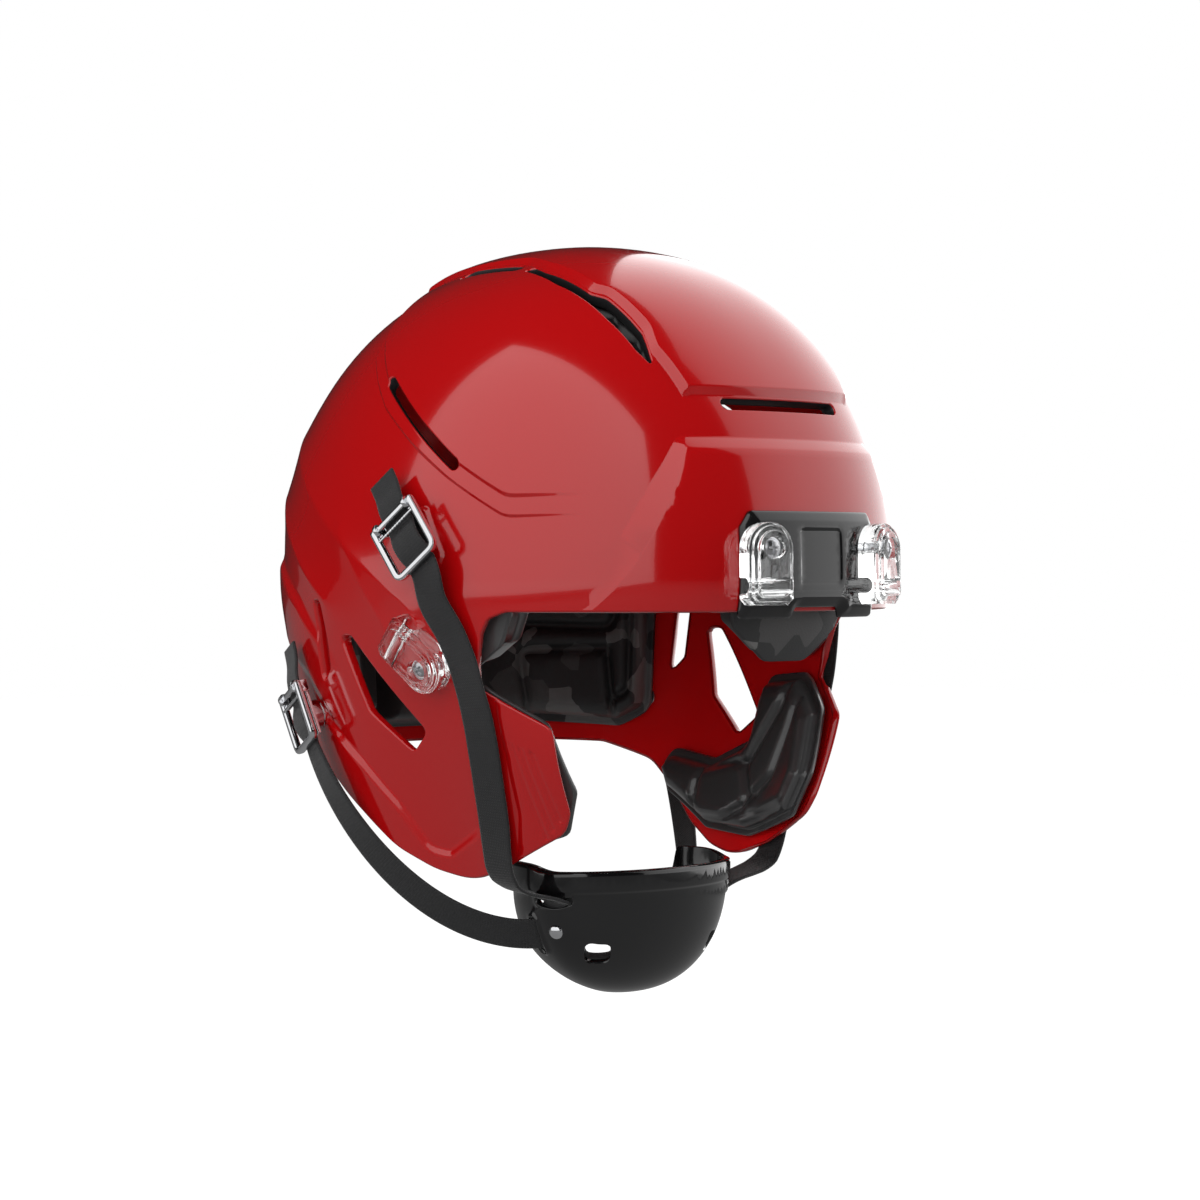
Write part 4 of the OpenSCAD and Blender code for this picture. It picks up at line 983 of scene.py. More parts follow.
def moulded(name, outline, place, height, finish, body, node, step, insets, lines=(), holes=(),
            flip=False):
    edge = flatLine(outline, step * 0.7)
    cuts = [flatLine(h, step * 0.5) for h in holes]
    rows = [((edge["pts"] + edge["left"] * d)[:, :2], True) for d in insets]
    marks = []
    for pts, offsets in lines:
        line = flatLine(pts, step * 0.8, False)
        marks.append(line)
        rows += [((line["pts"] + line["left"] * d)[:, :2], False) for d in offsets]
    rimMap = edge["pts"][:, :2]
    scatter = grid2d(rimMap, step)
    seen = np.vstack([r for r, c in rows])
    near = np.array([np.min(((seen - s) ** 2).sum(1)) for s in scatter])
    keep = (measure(lifted(scatter), edge)[0] > step * 0.5) & (near > (step * 0.45) ** 2)
    q, tris = triangles(scatter[keep], rows, rimMap, [c["pts"][:, :2] for c in cuts])
    inner = np.maximum(measure(lifted(q), edge)[0], 0)
    h = height(q, inner, [np.abs(measure(lifted(q), line)[0]) for line in marks])
    verts = np.vstack([place(q, h), place(q, np.zeros(len(q)))])
    faces = [tuple(t) for t in tris] + [tuple(t[::-1] + len(q)) for t in tris]
    corners = dict.fromkeys((t[i], t[(i + 1) % 3]) for t in tris for i in range(3))
    faces += [(b, a, a + len(q), b + len(q)) for a, b in corners if (b, a) not in corners]
    if flip:
        faces = [f[::-1] for f in faces]
    piece = meshObject(name, verts, faces)
    piece.data.materials.append(finish)
    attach(piece, body)
    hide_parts(node)


def roundEdge(top, d, r):
    inside = np.clip(1 - d / r, 0, 1)
    return top - r * (1 - np.sqrt(np.clip(1 - inside * inside, 0, 1)))


# Front bumper: a curved plate with a wide chamfer, hooked under the brow edge by two tabs.
bumper = {"half": 41, "top": 27, "shoulder": 20, "base": 4.65, "foot": 1.6, "height": 3.5, "chamfer": 4.2,
          "panelHalf": 13, "panelDrop": 0.7, "panelMid": 8, "panelTall": 12, "shelfY": -7.5, "shelfHalf": 19,
          "shelfRise": 0.5, "hook": 2.5, "step": 2.2}


def makeBumper():
    b, drop = bumper, -skin["browDrop"]
    half, low, panel = b["half"], drop - b["hook"], b["panelHalf"] * 0.96
    outline = rounded([(-half, low), (-15, low), (-13, drop + 2), (13, drop + 2), (15, low), (half, low),
                       (half, b["shoulder"]), (half - 5, b["top"]), (-half + 5, b["top"]),
                       (-half, b["shoulder"])],
                      [2.5, 1.5, 1.5, 1.5, 1.5, 2.5, 2, 2, 2, 2], True)

    def place(q, h):
        off = b["base"] + h
        return skinAt(*fromFront(q[:, 0], q[:, 1], off), off)

    def height(q, d, marks):
        h = b["foot"] + (b["height"] - b["foot"]) * ramp(d, b["chamfer"], 0.5)[0]
        away = np.maximum(np.abs(q[:, 0]) / b["panelHalf"], np.abs(q[:, 1] - b["panelMid"]) / b["panelTall"])
        h = h - b["panelDrop"] * (1 - ramp(away - 0.9, 0.12, 0.02)[0])
        shelf = ramp(b["shelfY"] - q[:, 1], 1.2, 0.3)[0]
        shelf = shelf * (1 - ramp(np.abs(q[:, 0]) - b["shelfHalf"], 1, 0.2)[0])
        return roundEdge(h + b["shelfRise"] * shelf * ramp(d - 1.5, 1.5, 0.3)[0], d, 0.8)
    frameLine = rounded([(-panel, -3), (panel, -3), (panel, 19.4), (-panel, 19.4), (-panel, -3)], 2)
    shelfLine = np.array([(-22.0, b["shelfY"]), (22.0, b["shelfY"])])
    c = b["chamfer"]
    moulded("front_bumper_plate", outline, place, height, blackGloss, "shell", "front_bumper",
            b["step"], (0.15, 0.4, 0.8, 1.5, c - 0.5, c, c + 0.5),
            [(frameLine, (-0.8, -0.3, 0.3, 0.8)), (shelfLine, (-1.5, -1.0, -0.4, 0.3))])


# Rear bumper: a wide plate with one groove along its lower half.
rearBumper = {"base": 2.3, "foot": 1.2, "rise": 1.5, "chamfer": 3.6, "grooveDeep": 0.8, "grooveHalf": 0.9,
              "grooveZ": -62, "step": 3.2}


def makeRearBumper():
    b = rearBumper
    outline = rounded([(-62, -38), (62, -38), (54, -76), (-54, -76)], 6, True)

    def place(q, h):
        return skinAt(*fromFront(q[:, 0], q[:, 1], b["base"] + h, 1), b["base"] + h)

    def height(q, d, marks):
        cut = b["grooveDeep"] * np.exp(-(marks[0] / b["grooveHalf"]) ** 2)
        return roundEdge(b["foot"] + b["rise"] * ramp(d, b["chamfer"], 0.5)[0] - cut, d, 0.8)
    low = np.array([(-44.0, b["grooveZ"]), (44.0, b["grooveZ"])])
    moulded("rear_bumper_plate", outline, place, height, blackGloss, "shell", "rear_bumper",
            b["step"], (0.15, 0.4, 0.8, 1.5, 3.1, 3.6, 4.1), [(low, (-1.8, -0.9, 0, 0.9, 1.8))], flip=True)


makeBumper()
makeRearBumper()
print("bumpers made")

# Pads: foam under a moulded skin, with a flange round the foot and drawn-in channels between the lobes.
padSeat = {"usual": 6.5, "jaw": 7.5, "crown": 8.3}
backScale = 2.2     # mm of a pad's drawing for each degree of bearing from the back
channel = (-4.4, -2.6, -1.3, 0, 1.3, 2.6, 4.4)
padRows = (0.2, 0.6, 1.1, 2.6, 3.5, 3.9, 4.6, 5.8, 7.6, 9.8, 12.4)


def onSide(side, base=padSeat["usual"]):
    def place(q, h):
        off = -base - h
        return skinAt(*fromSide(-q[:, 0], q[:, 1], off, side), off)
    return place


def onFront(q, h):
    off = -padSeat["usual"] - h
    return skinAt(*fromFront(-q[:, 0], q[:, 1], off), off)


def onBack(side):
    def place(q, h):
        off = -padSeat["usual"] - h
        return skinAt(side * np.radians(180 - q[:, 0] / backScale), levelOf(q[:, 1], off), off)
    return place


def onTop(q, h):
    off = -padSeat["crown"] - h
    return skinAt(*fromTop(q[:, 1], q[:, 0], off), off)


# The height of a pad: its thickness, its flange's width and height, its shoulder, and its channels.
def padHeight(thick, flange, shoulder, depth=3.5, width=2.2, deeper=()):
    def height(q, d, marks):
        inside = np.clip((d - flange[0]) / shoulder, 0, 1)
        full = flange[1] + (thick - flange[1]) * np.sqrt(1 - (1 - inside) ** 2.2)
        h = np.where(d < flange[0], flange[1], full)
        for i, mark in enumerate(marks):
            cut = deeper[i] if i < len(deeper) else depth
            h = h - cut * np.exp(-(mark / width) ** 2) * np.clip((d - flange[0]) / 4, 0, 1)
        return roundEdge(h, d, 1.1)
    return height


def makePad(node, outline, radius, place, height, finish, step, marks=(),
            insets=padRows, flip=False):
    lines = [(np.asarray(mark, float), channel) for mark in marks]
    moulded(f"{node}_skin", rounded(outline, radius, True), place, height, finish, "shell", node,
            step, insets, lines, flip=flip)


jawOutline = [(19, -47), (42, -45), (66, -61), (70, -90), (62, -109), (27, -121), (-4, -119), (-36, -104),
              (-43, -92), (-37, -83), (-8, -87), (15, -77), (16, -58)]
jawMarks = [rounded([(40, -50), (38, -60), (23, -87)], 8),
            rounded([(50, -54), (48, -66), (41, -92), (31, -102)], 8),
            rounded([(-3, -90), (16, -87), (22, -88), (28, -102), (26, -107), (12, -114), (-8, -114)], 4),
            [(-9, -90), (-11, -112)], rounded([(60, -62), (64, -88), (56, -104), (26, -111)], 12)]
templeOutline = [(62, 30), (60, -15), (54, -29), (42, -38), (14, -38), (10, 4), (24, 34)]
foreOutline = [(-36, 36), (36, 36), (38, 0), (31, -22), (12, -36), (-12, -36), (-31, -22), (-38, 0)]
crownOutline = [(-78, -34), (-78, 34), (-20, 56), (60, 44), (74, 0), (60, -44), (-20, -56)]
sideOutline = [(-20, -18), (-46, -6), (-46, 40), (-20, 56), (4, 36), (4, -8)]
# The pads at the back are drawn in degrees from the back and mm of height.
rearOutline = [(60, 30), (60, -66), (52, -74), (14, -70), (10, -36), (4, 30), (20, 56), (46, 52)]
rearMarks = [([(51, 34), (51, -26), (12, -24)], 8), ([(55, 34), (55, -56), (51, -60)], 5),
             ([(49, -37), (51, -68), (49, -73), (29, -69), (27, -37), (49, -36)], 6)]


def fromBack(points):
    return [(x * backScale, y) for x, y in points]


def makePads():
    turn = np.linspace(0, 2 * math.pi, 25)
    boss = np.stack([38 + 7 * np.cos(turn), -19 + 7 * np.sin(turn)], 1)
    temple = rounded(templeOutline, 8, True)
    for side, label in sides:
        flip = side < 0
        makePad(f"jaw_pad_{label}", jawOutline, 6, onSide(side, padSeat["jaw"]),
                padHeight(14.5, (3.5, 3.0), 8, 3.4, 2.0, (4.4, 4.4, 3.6, 4.4, 0.9)), jawSkin, 2.6,
                jawMarks, flip=flip)
        moulded(f"temple_pad_{label}_skin", temple, onSide(side),
                padHeight(19, (2, 3), 6, 1.6, 1.3, (1.6, 3.0)), jawSkin, "shell",
                f"temple_pad_{label}", 3.0, padRows,
                [(boss, (-2.4, -1.2, 0, 1.2, 2.4)), (np.array([(24.0, -6), (54, 8)]), channel)],
                flip=flip)
        makePad(f"side_pad_{label}", sideOutline, 8, onSide(side), padHeight(19, (3, 3), 11), padSkin, 3.2,
                [[(-20, -10), (-20, 46)]], flip=flip)
        marks = [rounded(fromBack(points), radius) for points, radius in rearMarks]
        makePad(f"rear_pad_{label}", fromBack(rearOutline), 10, onBack(side),
                padHeight(19, (3.5, 3), 9, 4.4, 2.2), padCloth, 3.6, marks, flip=flip)
    makePad("forehead_pad", foreOutline, 9, onFront, padHeight(19, (3, 3), 10), padCloth, 3.0,
            [[(-30, 12), (30, 12)]])
    makePad("nape_pad", fromBack([(-7, -38), (7, -38), (11, -73), (-11, -73)]), 6, onBack(1),
            padHeight(15, (2.5, 2.5), 7), padSkin, 3.0, insets=(0.2, 0.6, 1.1, 2.6, 3.5, 4.6, 7))
    makePad("crown_pad", crownOutline, 12, onTop, padHeight(18, (3.5, 3), 12), padSkin, 4.0,
            [[(-30, -42), (-30, 42)], [(30, -38), (30, 38)], [(-66, 0), (64, 0)]])


makePads()
print("pads made")

# Chin cup: half a bowl, drawn flat from its lowest point.
cup = {"halfW": 55.5, "reach": 31, "backReach": 49, "depth": 55, "fullness": 2.3, "wall": 2.4, "y": -26,
       "rimZ": -130, "flat": 50, "lipFoot": 5.0, "lipRise": 1.5, "border": 3.2, "borderRise": 0.9,
       "round": 1.1, "step": 2.6}
quarter = math.pi / 2


def cupLength(ahead):
    return np.where(ahead > 0, cup["reach"], cup["backReach"])


def cupShare(drop):
    deep = (np.clip(drop, 0, None) / cup["depth"]) ** cup["fullness"]
    return np.clip(1 - deep, 0, 1) ** (1 / cup["fullness"])


def cupAt(q, h):
    sweep = np.linalg.norm(q, axis=1) / cup["flat"]
    a = np.arctan2(q[:, 0], -q[:, 1])
    off = h - cup["wall"]
    power = 2 / cup["fullness"]
    over = np.maximum(sweep - quarter, 0)
    width = np.clip(np.sin(np.minimum(sweep, quarter)), 0, 1) ** power
    drop = (cup["depth"] + off) * np.abs(np.cos(np.minimum(sweep, quarter))) ** power - over * cup["depth"]
    return np.stack([(cup["halfW"] + off) * width * np.sin(a),
                     cup["y"] - (cupLength(np.cos(a)) + off) * width * np.cos(a), cup["rimZ"] - drop], 1)


def cupFlat(p):
    drop = (cup["rimZ"] - p[:, 2]) / cup["depth"]
    ahead = cup["y"] - p[:, 1]
    a = np.arctan2(p[:, 0] / cup["halfW"], ahead / cupLength(ahead))
    below = np.arccos(np.clip(drop, 0, 1) ** (cup["fullness"] / 2))
    sweep = np.where(drop > 0, below, quarter - drop) * cup["flat"]
    return np.stack([sweep * np.sin(a), -sweep * np.cos(a)], 1)


def cupArc(a, reach):
    return np.stack([reach * np.sin(a), -reach * np.cos(a)], 1)


def cupSide(y, drop, side=1):
    c = float(cupShare(drop))
    ahead = cup["y"] - y
    x = cup["halfW"] * math.sqrt(max(0, c * c - (ahead / float(cupLength(ahead))) ** 2))
    return np.array([side * x, y, cup["rimZ"] - drop])


def cupFrame(y, drop, side=1):
    p = cupSide(y, drop, side)
    ahead = cup["y"] - y
    rounding = float(cupShare(drop)) ** (cup["fullness"] - 2)
    n = np.array([rounding * p[0] / cup["halfW"] ** 2, -rounding * ahead / float(cupLength(ahead)) ** 2,
                  -max(drop, 0) ** (cup["fullness"] - 1) / cup["depth"] ** cup["fullness"]])
    n /= np.linalg.norm(n)
    up = np.array([0, 0, 1.0]) - n * n[2]
    up /= np.linalg.norm(up)
    return p, np.cross(up, n), up, n


def cupHole(y, drop, halfX, halfY, r, side, lift=0.0):
    p, ex, ey, n = cupFrame(y, drop, side)
    shape = rounded([(-halfX, -halfY), (halfX, -halfY), (halfX, halfY), (-halfX, halfY + lift)], r, True)
    return cupFlat(p + shape[:, :1] * ex + shape[:, 1:] * ey)


# Where each strap goes through the cup: y and drop below the rim. Each slot's border follows its length.
slotAt = {"upper": (-34, 10), "lower": (-22, 26)}


def cupOutline():
    edge = rounded([(-7, -3), (-4.5, 10), (-5, 21), (-10, 34), (-26.5, 52.3)], [0, 5, 6, 8, 0])   # y and drop
    down = cupFlat(np.array([cupSide(y, d) for y, d in spaced(edge, 2)]))
    rimTo = math.acos((cup["y"] + 7) / cup["backReach"])
    a = np.linspace(-rimTo, rimTo, 90)
    rise = 0.045 + 0.05 * ease((np.abs(a) - 1.25) / 0.5)
    back = down * np.array([-1, 1])
    outline = np.vstack([back[back[:, 0] < -1][::-1], cupArc(a, (quarter + rise) * cup["flat"]),
                         down[down[:, 0] > 1]])
    outline = spaced(outline, 1.5, True)
    for step in range(3):
        outline = (np.roll(outline, 1, 0) + outline * 2 + np.roll(outline, -1, 0)) / 4
    return outline, rimTo


def makeCup():
    outline, rimTo = cupOutline()
    ring = quarter * cup["flat"] - cup["lipFoot"]
    holes, slots = [], []
    for side in (1, -1):
        slots += [(cupFrame(*slotAt["upper"], side), 7.1, 0), (cupFrame(*slotAt["lower"], side), 0, 6.6)]
        holes += [cupHole(*slotAt["upper"], 8.8, 1.7, 1.6, side),
                  cupHole(*slotAt["lower"], 2.3, 8.9, 2.2, side),
                  cupHole(-43, 34, 6.0, 4.6, 3.2, side, 1.4)]

    def height(q, d, marks):
        lip = ramp(np.linalg.norm(q, axis=1) - ring, 1.0, 0.3)[0]
        border = np.zeros(len(q))
        skinPoint = cupAt(q, np.full(len(q), cup["wall"]))
        for (p, ex, ey, n), longX, longY in slots:
            at = skinPoint - p
            aside = np.clip(np.abs(at @ ex) - longX, 0, None)
            above = np.clip(np.abs(at @ ey) - longY, 0, None)
            far = np.hypot(np.hypot(aside, above), at @ n)
            border = np.maximum(border, 1 - ramp(far - cup["border"], 1.0, 0.3)[0])
        h = cup["wall"] + cup["lipRise"] * lip + cup["borderRise"] * border * (1 - lip)
        return roundEdge(h, d, cup["round"])
    along = np.linspace(-rimTo * 1.02, rimTo * 1.02, 90)
    lines = [(cupArc(along, ring + extra), (0.0,)) for extra in (-0.3, 0.3, 0.7, 1.3)]
    for k, hole in enumerate(holes):
        shape = spaced(hole, 1.2, True)
        shape = shape[::-1] if turning(shape) > 0 else shape
        lines.append((np.vstack([shape, shape[:1]]), (0.5, 1.2) if k % 3 == 2 else (0.5, 1.2, 1.8, 2.3, 2.8)))
    moulded("chin_cup_bowl", outline, cupAt, height, cupGloss, "chin_strap", "chin_cup",
            cup["step"], (0.2, 0.6, 1.1, 2.0), lines, holes)


def makeCupPad():
    a = np.radians(np.linspace(-88, 88, 60))
    outline = np.vstack([cupArc(a, 1.5 * cup["flat"]), cupArc(a, 0.35 * cup["flat"])[::-1]])
    holes = [cupHole(-43, 34, 7.6, 6.2, 3.6, side, 1.6) for side in (1, -1)]
    marks = [(np.array([(way * 18.0, -40), (way * 14.0, -66)]), channel) for way in (-1, 1)]
    moulded("chin_cup_lining", rounded(outline[::6], 5, True), lambda q, h: cupAt(q, -0.4 - h),
            padHeight(4.8, (2, 1.6), 5, 1.4, 1.5), padSkin, "chin_strap", "chin_cup_pad", 3.0,
            (0.2, 0.6, 1.1, 2.0, 2.6, 4, 6), marks, holes, True)


makeCup()
makeCupPad()
print("chin cup made")


def bezier(a, b, c, d, t):
    return a * (1 - t) ** 3 + 3 * b * t * (1 - t) ** 2 + 3 * c * t * t * (1 - t) + d * t ** 3


def unit(v):
    v = np.asarray(v, float)
    return v / np.linalg.norm(v)


def sidePoint(y, z, off):
    return skinAt(*fromSide(float(y), float(z), off), off)


def sideFacing(y, z):
    a, v = fromSide(float(y), float(z), 0)
    return skinFacing(np.array([a]), np.array([v]))[0]


# Where a buckle sits on the left side: its point on the skin, and the ways out, across and up of it.
def buckleSeat(y, z, up):
    n = sideFacing(y, z)
    x = unit(np.cross(unit(up), n))
    return sidePoint(y, z, 0), n, x, np.cross(n, x)


seats = {"upper": buckleSeat(-25, 14.5, (0, 0.62, 0.78)), "lower": buckleSeat(62, -61, (0.1, 0.42, 0.9))}

# Buckle frames: a bar bent to a U, its hinge bar and a toothed bar, all with rounded edges.
buckle = {"bar": 2.9, "half": 1.6, "inner": 10.65, "length": 27, "hingeY": 12.2, "hingeZ": 11.2,
          "hingeR": 1.3, "corner": 3.6, "toothedY": 7.2, "toothedUp": 0.6, "toothPitch": 1.6,
          "teethHalf": 7.2, "toothedW": 1.3, "toothedT": 2.0, "toothDeep": 0.35, "squareness": 0.5,
          "taper": (0.5, 0.8, 0.95)}


def barSweep(path, width, height):
    path = np.asarray(path, float)
    along = unitRows(np.gradient(path, axis=0))
    across = unitRows(np.cross(along, (0, 0, 1.0)))
    lift = np.cross(across, along)
    turn = np.linspace(0, 2 * math.pi, 20, endpoint=False)
    c, s = np.cos(turn), np.sin(turn)
    power, taper = buckle["squareness"], buckle["taper"]
    section = np.stack([np.sign(c) * np.abs(c) ** power, np.sign(s) * np.abs(s) ** power], 1)
    size = np.ones(len(path))
    size[:len(taper)] = taper
    size[-len(taper):] = taper[::-1]
    half = np.asarray(width, float) / 2 * size
    rings = (path[:, None] + across[:, None] * section[None, :, :1] * half[:, None, None]
             + lift[:, None] * section[None, :, 1:] * (height / 2 * size)[:, None, None])
    n, m = len(path), len(turn)
    return rings.reshape(-1, 3), ringQuads(n, m) + [tuple(range(m)), tuple(range((n - 1) * m, n * m))[::-1]]


def makeFrame(place, label, side):
    b = buckle
    x, z, half = b["inner"] + b["bar"] / 2, b["hingeZ"], b["length"] / 2
    low = b["bar"] / 2 - half
    path = spaced(rounded([(-x, half), (-x, low), (x, low), (x, half)], b["corner"]), 0.6)
    ends = np.outer((0.15, 0.5), (0, 1))
    path = np.vstack([path[:1], path[0] - ends, path[2:-2], path[-1] - ends[::-1], path[-1:]])
    end = b["inner"] + b["bar"] - 0.05
    hinge = np.concatenate([[-end, 0.15 - end, 0.5 - end], np.linspace(1.2 - end, end - 1.2, 9),
                            [end - 0.5, end - 0.15, end]])
    toothed = np.linspace(-b["inner"] - 0.6, b["inner"] + 0.6, 140)
    tooth = np.clip(np.cos(2 * math.pi * toothed / b["toothPitch"]), -0.6, 1)
    tooth = b["toothDeep"] * tooth * (np.abs(toothed) < b["teethHalf"])

    def level(run, y, z):
        return np.stack([run, np.full(len(run), y), np.full(len(run), z)], 1)
    verts, faces = joined([
        barSweep(np.hstack([path, np.full((len(path), 1), z)]), b["bar"], 2 * b["half"]),
        barSweep(level(hinge, b["hingeY"], z), 2 * b["hingeR"], 2 * b["hingeR"]),
        barSweep(level(toothed, b["toothedY"], z + b["toothedUp"]), b["toothedW"] + tooth, b["toothedT"])])
    p, n, ex, ey = seats[place]
    verts = (p + verts[:, :1] * ex + verts[:, 1:2] * ey + verts[:, 2:] * n) * np.array([side, 1, 1])
    piece = meshObject(f"{place}_frame_{label}", verts, [f[::-1] for f in faces] if side > 0 else faces)
    piece.data.set_sharp_from_angle(angle=math.radians(60))
    piece.data.materials.append(chromeFinish)
    node = f"{place}_buckle_frame_{label}"
    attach(piece, frame["nodes"][node]["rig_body"])
    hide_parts(node)


# Webbing: a flat band with rounded edges along a smooth way. Its drawing runs in mm across and along.
strap = {"w": 15, "t": 1.4, "across": 6, "step": 2.0, "through": 4.5}


def smoothWay(pts, normals, step):
    pts, normals = np.asarray(pts, float), np.asarray(normals, float)
    run = runAlong(pts)
    tangent = np.gradient(pts, run, axis=0)
    s = np.linspace(0, run[-1], max(4, int(run[-1] / step)))
    k = np.clip(np.searchsorted(run, s, side="right") - 1, 0, len(run) - 2)
    t = ((s - run[k]) / (run[k + 1] - run[k]))[:, None]
    gap = (run[k + 1] - run[k])[:, None]
    way = (pts[k] * (2 * t ** 3 - 3 * t ** 2 + 1) + tangent[k] * gap * (t ** 3 - 2 * t ** 2 + t)
           + pts[k + 1] * (3 * t ** 2 - 2 * t ** 3) + tangent[k + 1] * gap * (t ** 3 - t ** 2))
    return way, normals[k] * (1 - t) + normals[k + 1] * t, s


def webbingPiece(name, pts, normals, side):
    way, facing, run = smoothWay(pts, normals, strap["step"])
    along = unitRows(np.gradient(way, axis=0))
    across = unitRows(np.cross(along, facing))
    out = np.cross(across, along)
    half, thick = strap["w"] / 2, strap["t"] / 2
    profile = [(-half, 0), (-half + 0.25, thick * 0.8), (-half + 1.0, thick)]
    profile += [(x, thick) for x in np.linspace(-half + 2.5, half - 2.5, strap["across"])]
    profile += [(half - 1.0, thick), (half - 0.25, thick * 0.8), (half, 0)]
    profile = np.array(profile + [(x, -z) for x, z in profile[::-1][1:-1]])
    n, m = len(way), len(profile)
    rings = way[:, None] + across[:, None] * profile[None, :, :1] + out[:, None] * profile[None, :, 1:]
    verts = rings.reshape(-1, 3) * np.array([side, 1, 1])
    faces = [(a, d, c, b) for a, b, c, d in ringQuads(n, m)]
    faces += [tuple(range(m))[::-1], tuple(range((n - 1) * m, n * m))]
    piece = meshObject(name, verts, [f[::-1] for f in faces] if side > 0 else faces)
    layer = piece.data.uv_layers.new(name="weave")
    for loop in piece.data.loops:
        layer.data[loop.index].uv = (profile[loop.vertex_index % m][0], run[loop.vertex_index // m])
    piece.data.set_sharp_from_angle(angle=math.radians(60))
    piece.data.materials.append(webbing)
    return piece


# The webbing's way through a buckle: mm up from the snap, and mm out from the skin.
tailWay = [(33, 4.6), (26, 5.6), (19, 7.8), (12.2, 8.6), (7, 8.6), (3, 10.2), (-2, 10.9), (-7, 9.8),
           (-9.5, 8.6), (-14, 8.6)]
# Down the jaw flap: y, z and mm out from the skin.
flapWay = [(-36.5, -11, 6.4), (-41, -24, 4.3), (-43.5, -36, 2.8), (-44.5, -47, 1.9), (-45, -60, 1.5),
           (-43.5, -75, 1.4), (-41, -90, 1.4), (-38.5, -104, 1.6), (-36, -116, 2.2), (-35, -125, 3.2)]


def alongTail(place):
    p, n, x, y = seats[place]
    return [p + y * s + n * h for s, h in tailWay], [n] * len(tailWay)


# The last stretch, from where the webbing leaves the shell to its slot in the cup.
def toCup(place, pts, normals, leave, arrive, shares, facing):
    start = pts[-1]
    slotPoint, ex, ey, n = cupFrame(*slotAt[place])
    end = slotPoint - n * cup["wall"] / 2
    arrive = np.array(arrive)
    for t in shares:
        pts.append(bezier(start, start + np.array(leave), end + arrive, end, t))
        normals.append(unit(facing(t)))
    pts.append(end - strap["through"] * unit(arrive))
    normals.append(normals[-1])
    return start, end


def makeStraps():
    pts, normals = alongTail("upper")
    for y, z, off in flapWay:
        pts.append(sidePoint(y, z, off))
        normals.append(sideFacing(y, max(z, -112)))
    toCup("upper", pts, normals, (-4, 0, -11), (13, 0, 5), (0.2, 0.4, 0.6, 0.8, 1.0),
          lambda t: (1, 0, 0.2 - 0.9 * t))
    low, lowN = alongTail("lower")
    rearN = seats["lower"][1]
    start, end = toCup("lower", low, lowN, (-3, -20, -40), (28, 36, -4), np.linspace(0.08, 1, 13),
                       lambda t: rearN * (1 - t) + np.array([1, -0.9, -0.66]) * t)
    for side, label in sides:
        upper = webbingPiece(f"upper_webbing_{label}", pts, normals, side)
        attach(upper, "chin_strap")
        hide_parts(f"upper_strap_{label}")
        lower = webbingPiece(f"lower_webbing_{label}", low, lowN, side)
        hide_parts(f"lower_strap_{label}")
        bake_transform(lower)


for side, label in sides:
    for place in ("upper", "lower"):
        makeFrame(place, label, side)
makeStraps()
print("straps made")

# Floor, backdrop and light: two tall softboxes stand either side of the camera, as their reflections show.
studio = {"floorZ": -0.42, "floorSize": 14, "floorGrey": 0.2, "floorGlow": 0.92, "world": 0.5, "glossy": 0.02}
# Azimuth and distance of each light, the bearings it spans, its foot and top, and its radiance; then how
# that changes across it and up it, and whether it shows in reflections.
lights = {
    "left_softbox": (-95, 1.6, -133, -27, -0.3, 3.6, 1.15, (0.95, 1.0), (0.85, 1.3), True),
    "side_fill": (-72, 1.6, -112, -30, -0.6, 1.7, 0.5, (1.0, 1.0), (1.0, 1.0), False),
    "right_softbox": (80, 1.6, 20, 132, -0.32, 6.0, 1.0, (0.6, 1.9), (1.05, 0.7), True)}


# What the camera sees directly or through the clear clips is white; what only lights or reflects is dimmer.
def seenDirectly(tree, path):
    return mathNode(tree, "MAXIMUM", path["Is Camera Ray"], path["Is Transmission Ray"])


def mixShaders(tree, share, first, second):
    return addNode(tree, "MixShader", {0: share, 1: first, 2: second}).outputs[0]


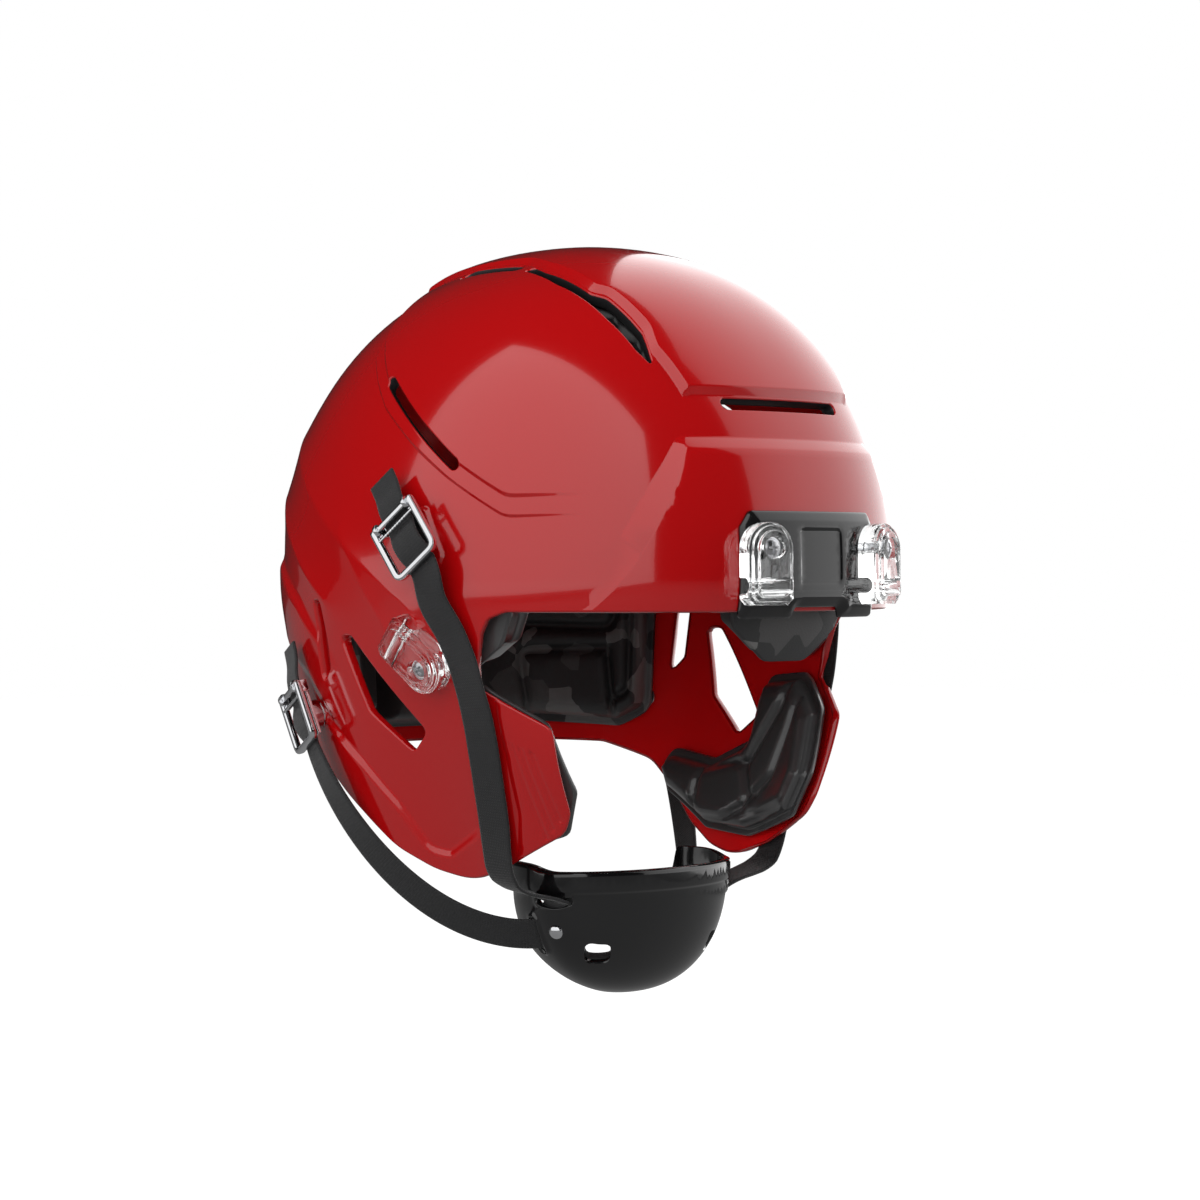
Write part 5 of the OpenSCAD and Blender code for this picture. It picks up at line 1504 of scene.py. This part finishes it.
def makeFloor():
    bpy.ops.mesh.primitive_plane_add(size=studio["floorSize"], location=(0, 0, studio["floorZ"]))
    floor = bpy.context.object
    floor.name = "studio_floor"
    paper = bpy.data.materials.new("studio floor")
    paper.use_nodes = True
    tree = paper.node_tree
    tree.nodes.clear()
    path = addNode(tree, "LightPath", {}).outputs
    diffuse = addNode(tree, "BsdfDiffuse", {"Color": (*[studio["floorGrey"]] * 3, 1)}).outputs[0]
    glow = addNode(tree, "Emission", {"Color": (1, 1, 1, 1), "Strength": studio["floorGlow"]}).outputs[0]
    both = addNode(tree, "AddShader", {0: glow, 1: diffuse}).outputs[0]
    addNode(tree, "OutputMaterial", {"Surface": mixShaders(tree, seenDirectly(tree, path), diffuse, both)})
    floor.data.materials.append(paper)


def makeWorld():
    world = bpy.data.worlds.new("studio")
    bpy.context.scene.world = world
    world.use_nodes = True
    tree = world.node_tree
    tree.nodes.clear()
    path = addNode(tree, "LightPath", {}).outputs
    soft, dim, white = (addNode(tree, "Background", {"Color": (1, 1, 1, 1), "Strength": strength}).outputs[0]
                        for strength in (studio["world"], studio["glossy"], 1))
    unseen = mixShaders(tree, path["Is Glossy Ray"], soft, dim)
    addNode(tree, "OutputWorld", {"Surface": mixShaders(tree, seenDirectly(tree, path), unseen, white)})


def softbox(name, azimuth, distance, fromAz, toAz, low, high, radiance, across, up, reflected):
    face = math.radians(azimuth)
    out = Vector((math.sin(face), -math.cos(face), 0))
    along = Vector((math.cos(face), math.sin(face), 0))
    left = distance * math.tan(math.radians(fromAz - azimuth))
    right = distance * math.tan(math.radians(toAz - azimuth))
    lamp = bpy.data.objects.new(name, bpy.data.lights.new(name, "AREA"))
    bpy.context.scene.collection.objects.link(lamp)
    lamp.data.shape = "RECTANGLE"
    lamp.data.size = right - left
    lamp.data.size_y = high - low
    lamp.data.energy = radiance * math.pi * (right - left) * (high - low)
    lamp.data.use_nodes = True
    tree = lamp.data.node_tree
    spot = addNode(tree, "NewGeometry", {}).outputs["Parametric"]
    split = addNode(tree, "SeparateXYZ", {0: spot}).outputs
    fades = [addNode(tree, "MapRange", {"To Min": start, "To Max": end, "Value": split[k]}).outputs[0]
             for k, (start, end) in enumerate((across, up))]
    feed(tree, tree.nodes["Emission"], {"Strength": mathNode(tree, "MULTIPLY", *fades)})
    place = Matrix((along, Vector((0, 0, 1)), out)).transposed().to_4x4()
    place.translation = out * distance + along * (left + right) / 2 + Vector((0, 0, (low + high) / 2))
    lamp.matrix_world = place
    lamp.visible_glossy = reflected


makeFloor()
makeWorld()
for name, settings in lights.items():
    softbox(name, *settings)
bpy.context.scene.view_settings.view_transform = "Standard"
print("studio set")
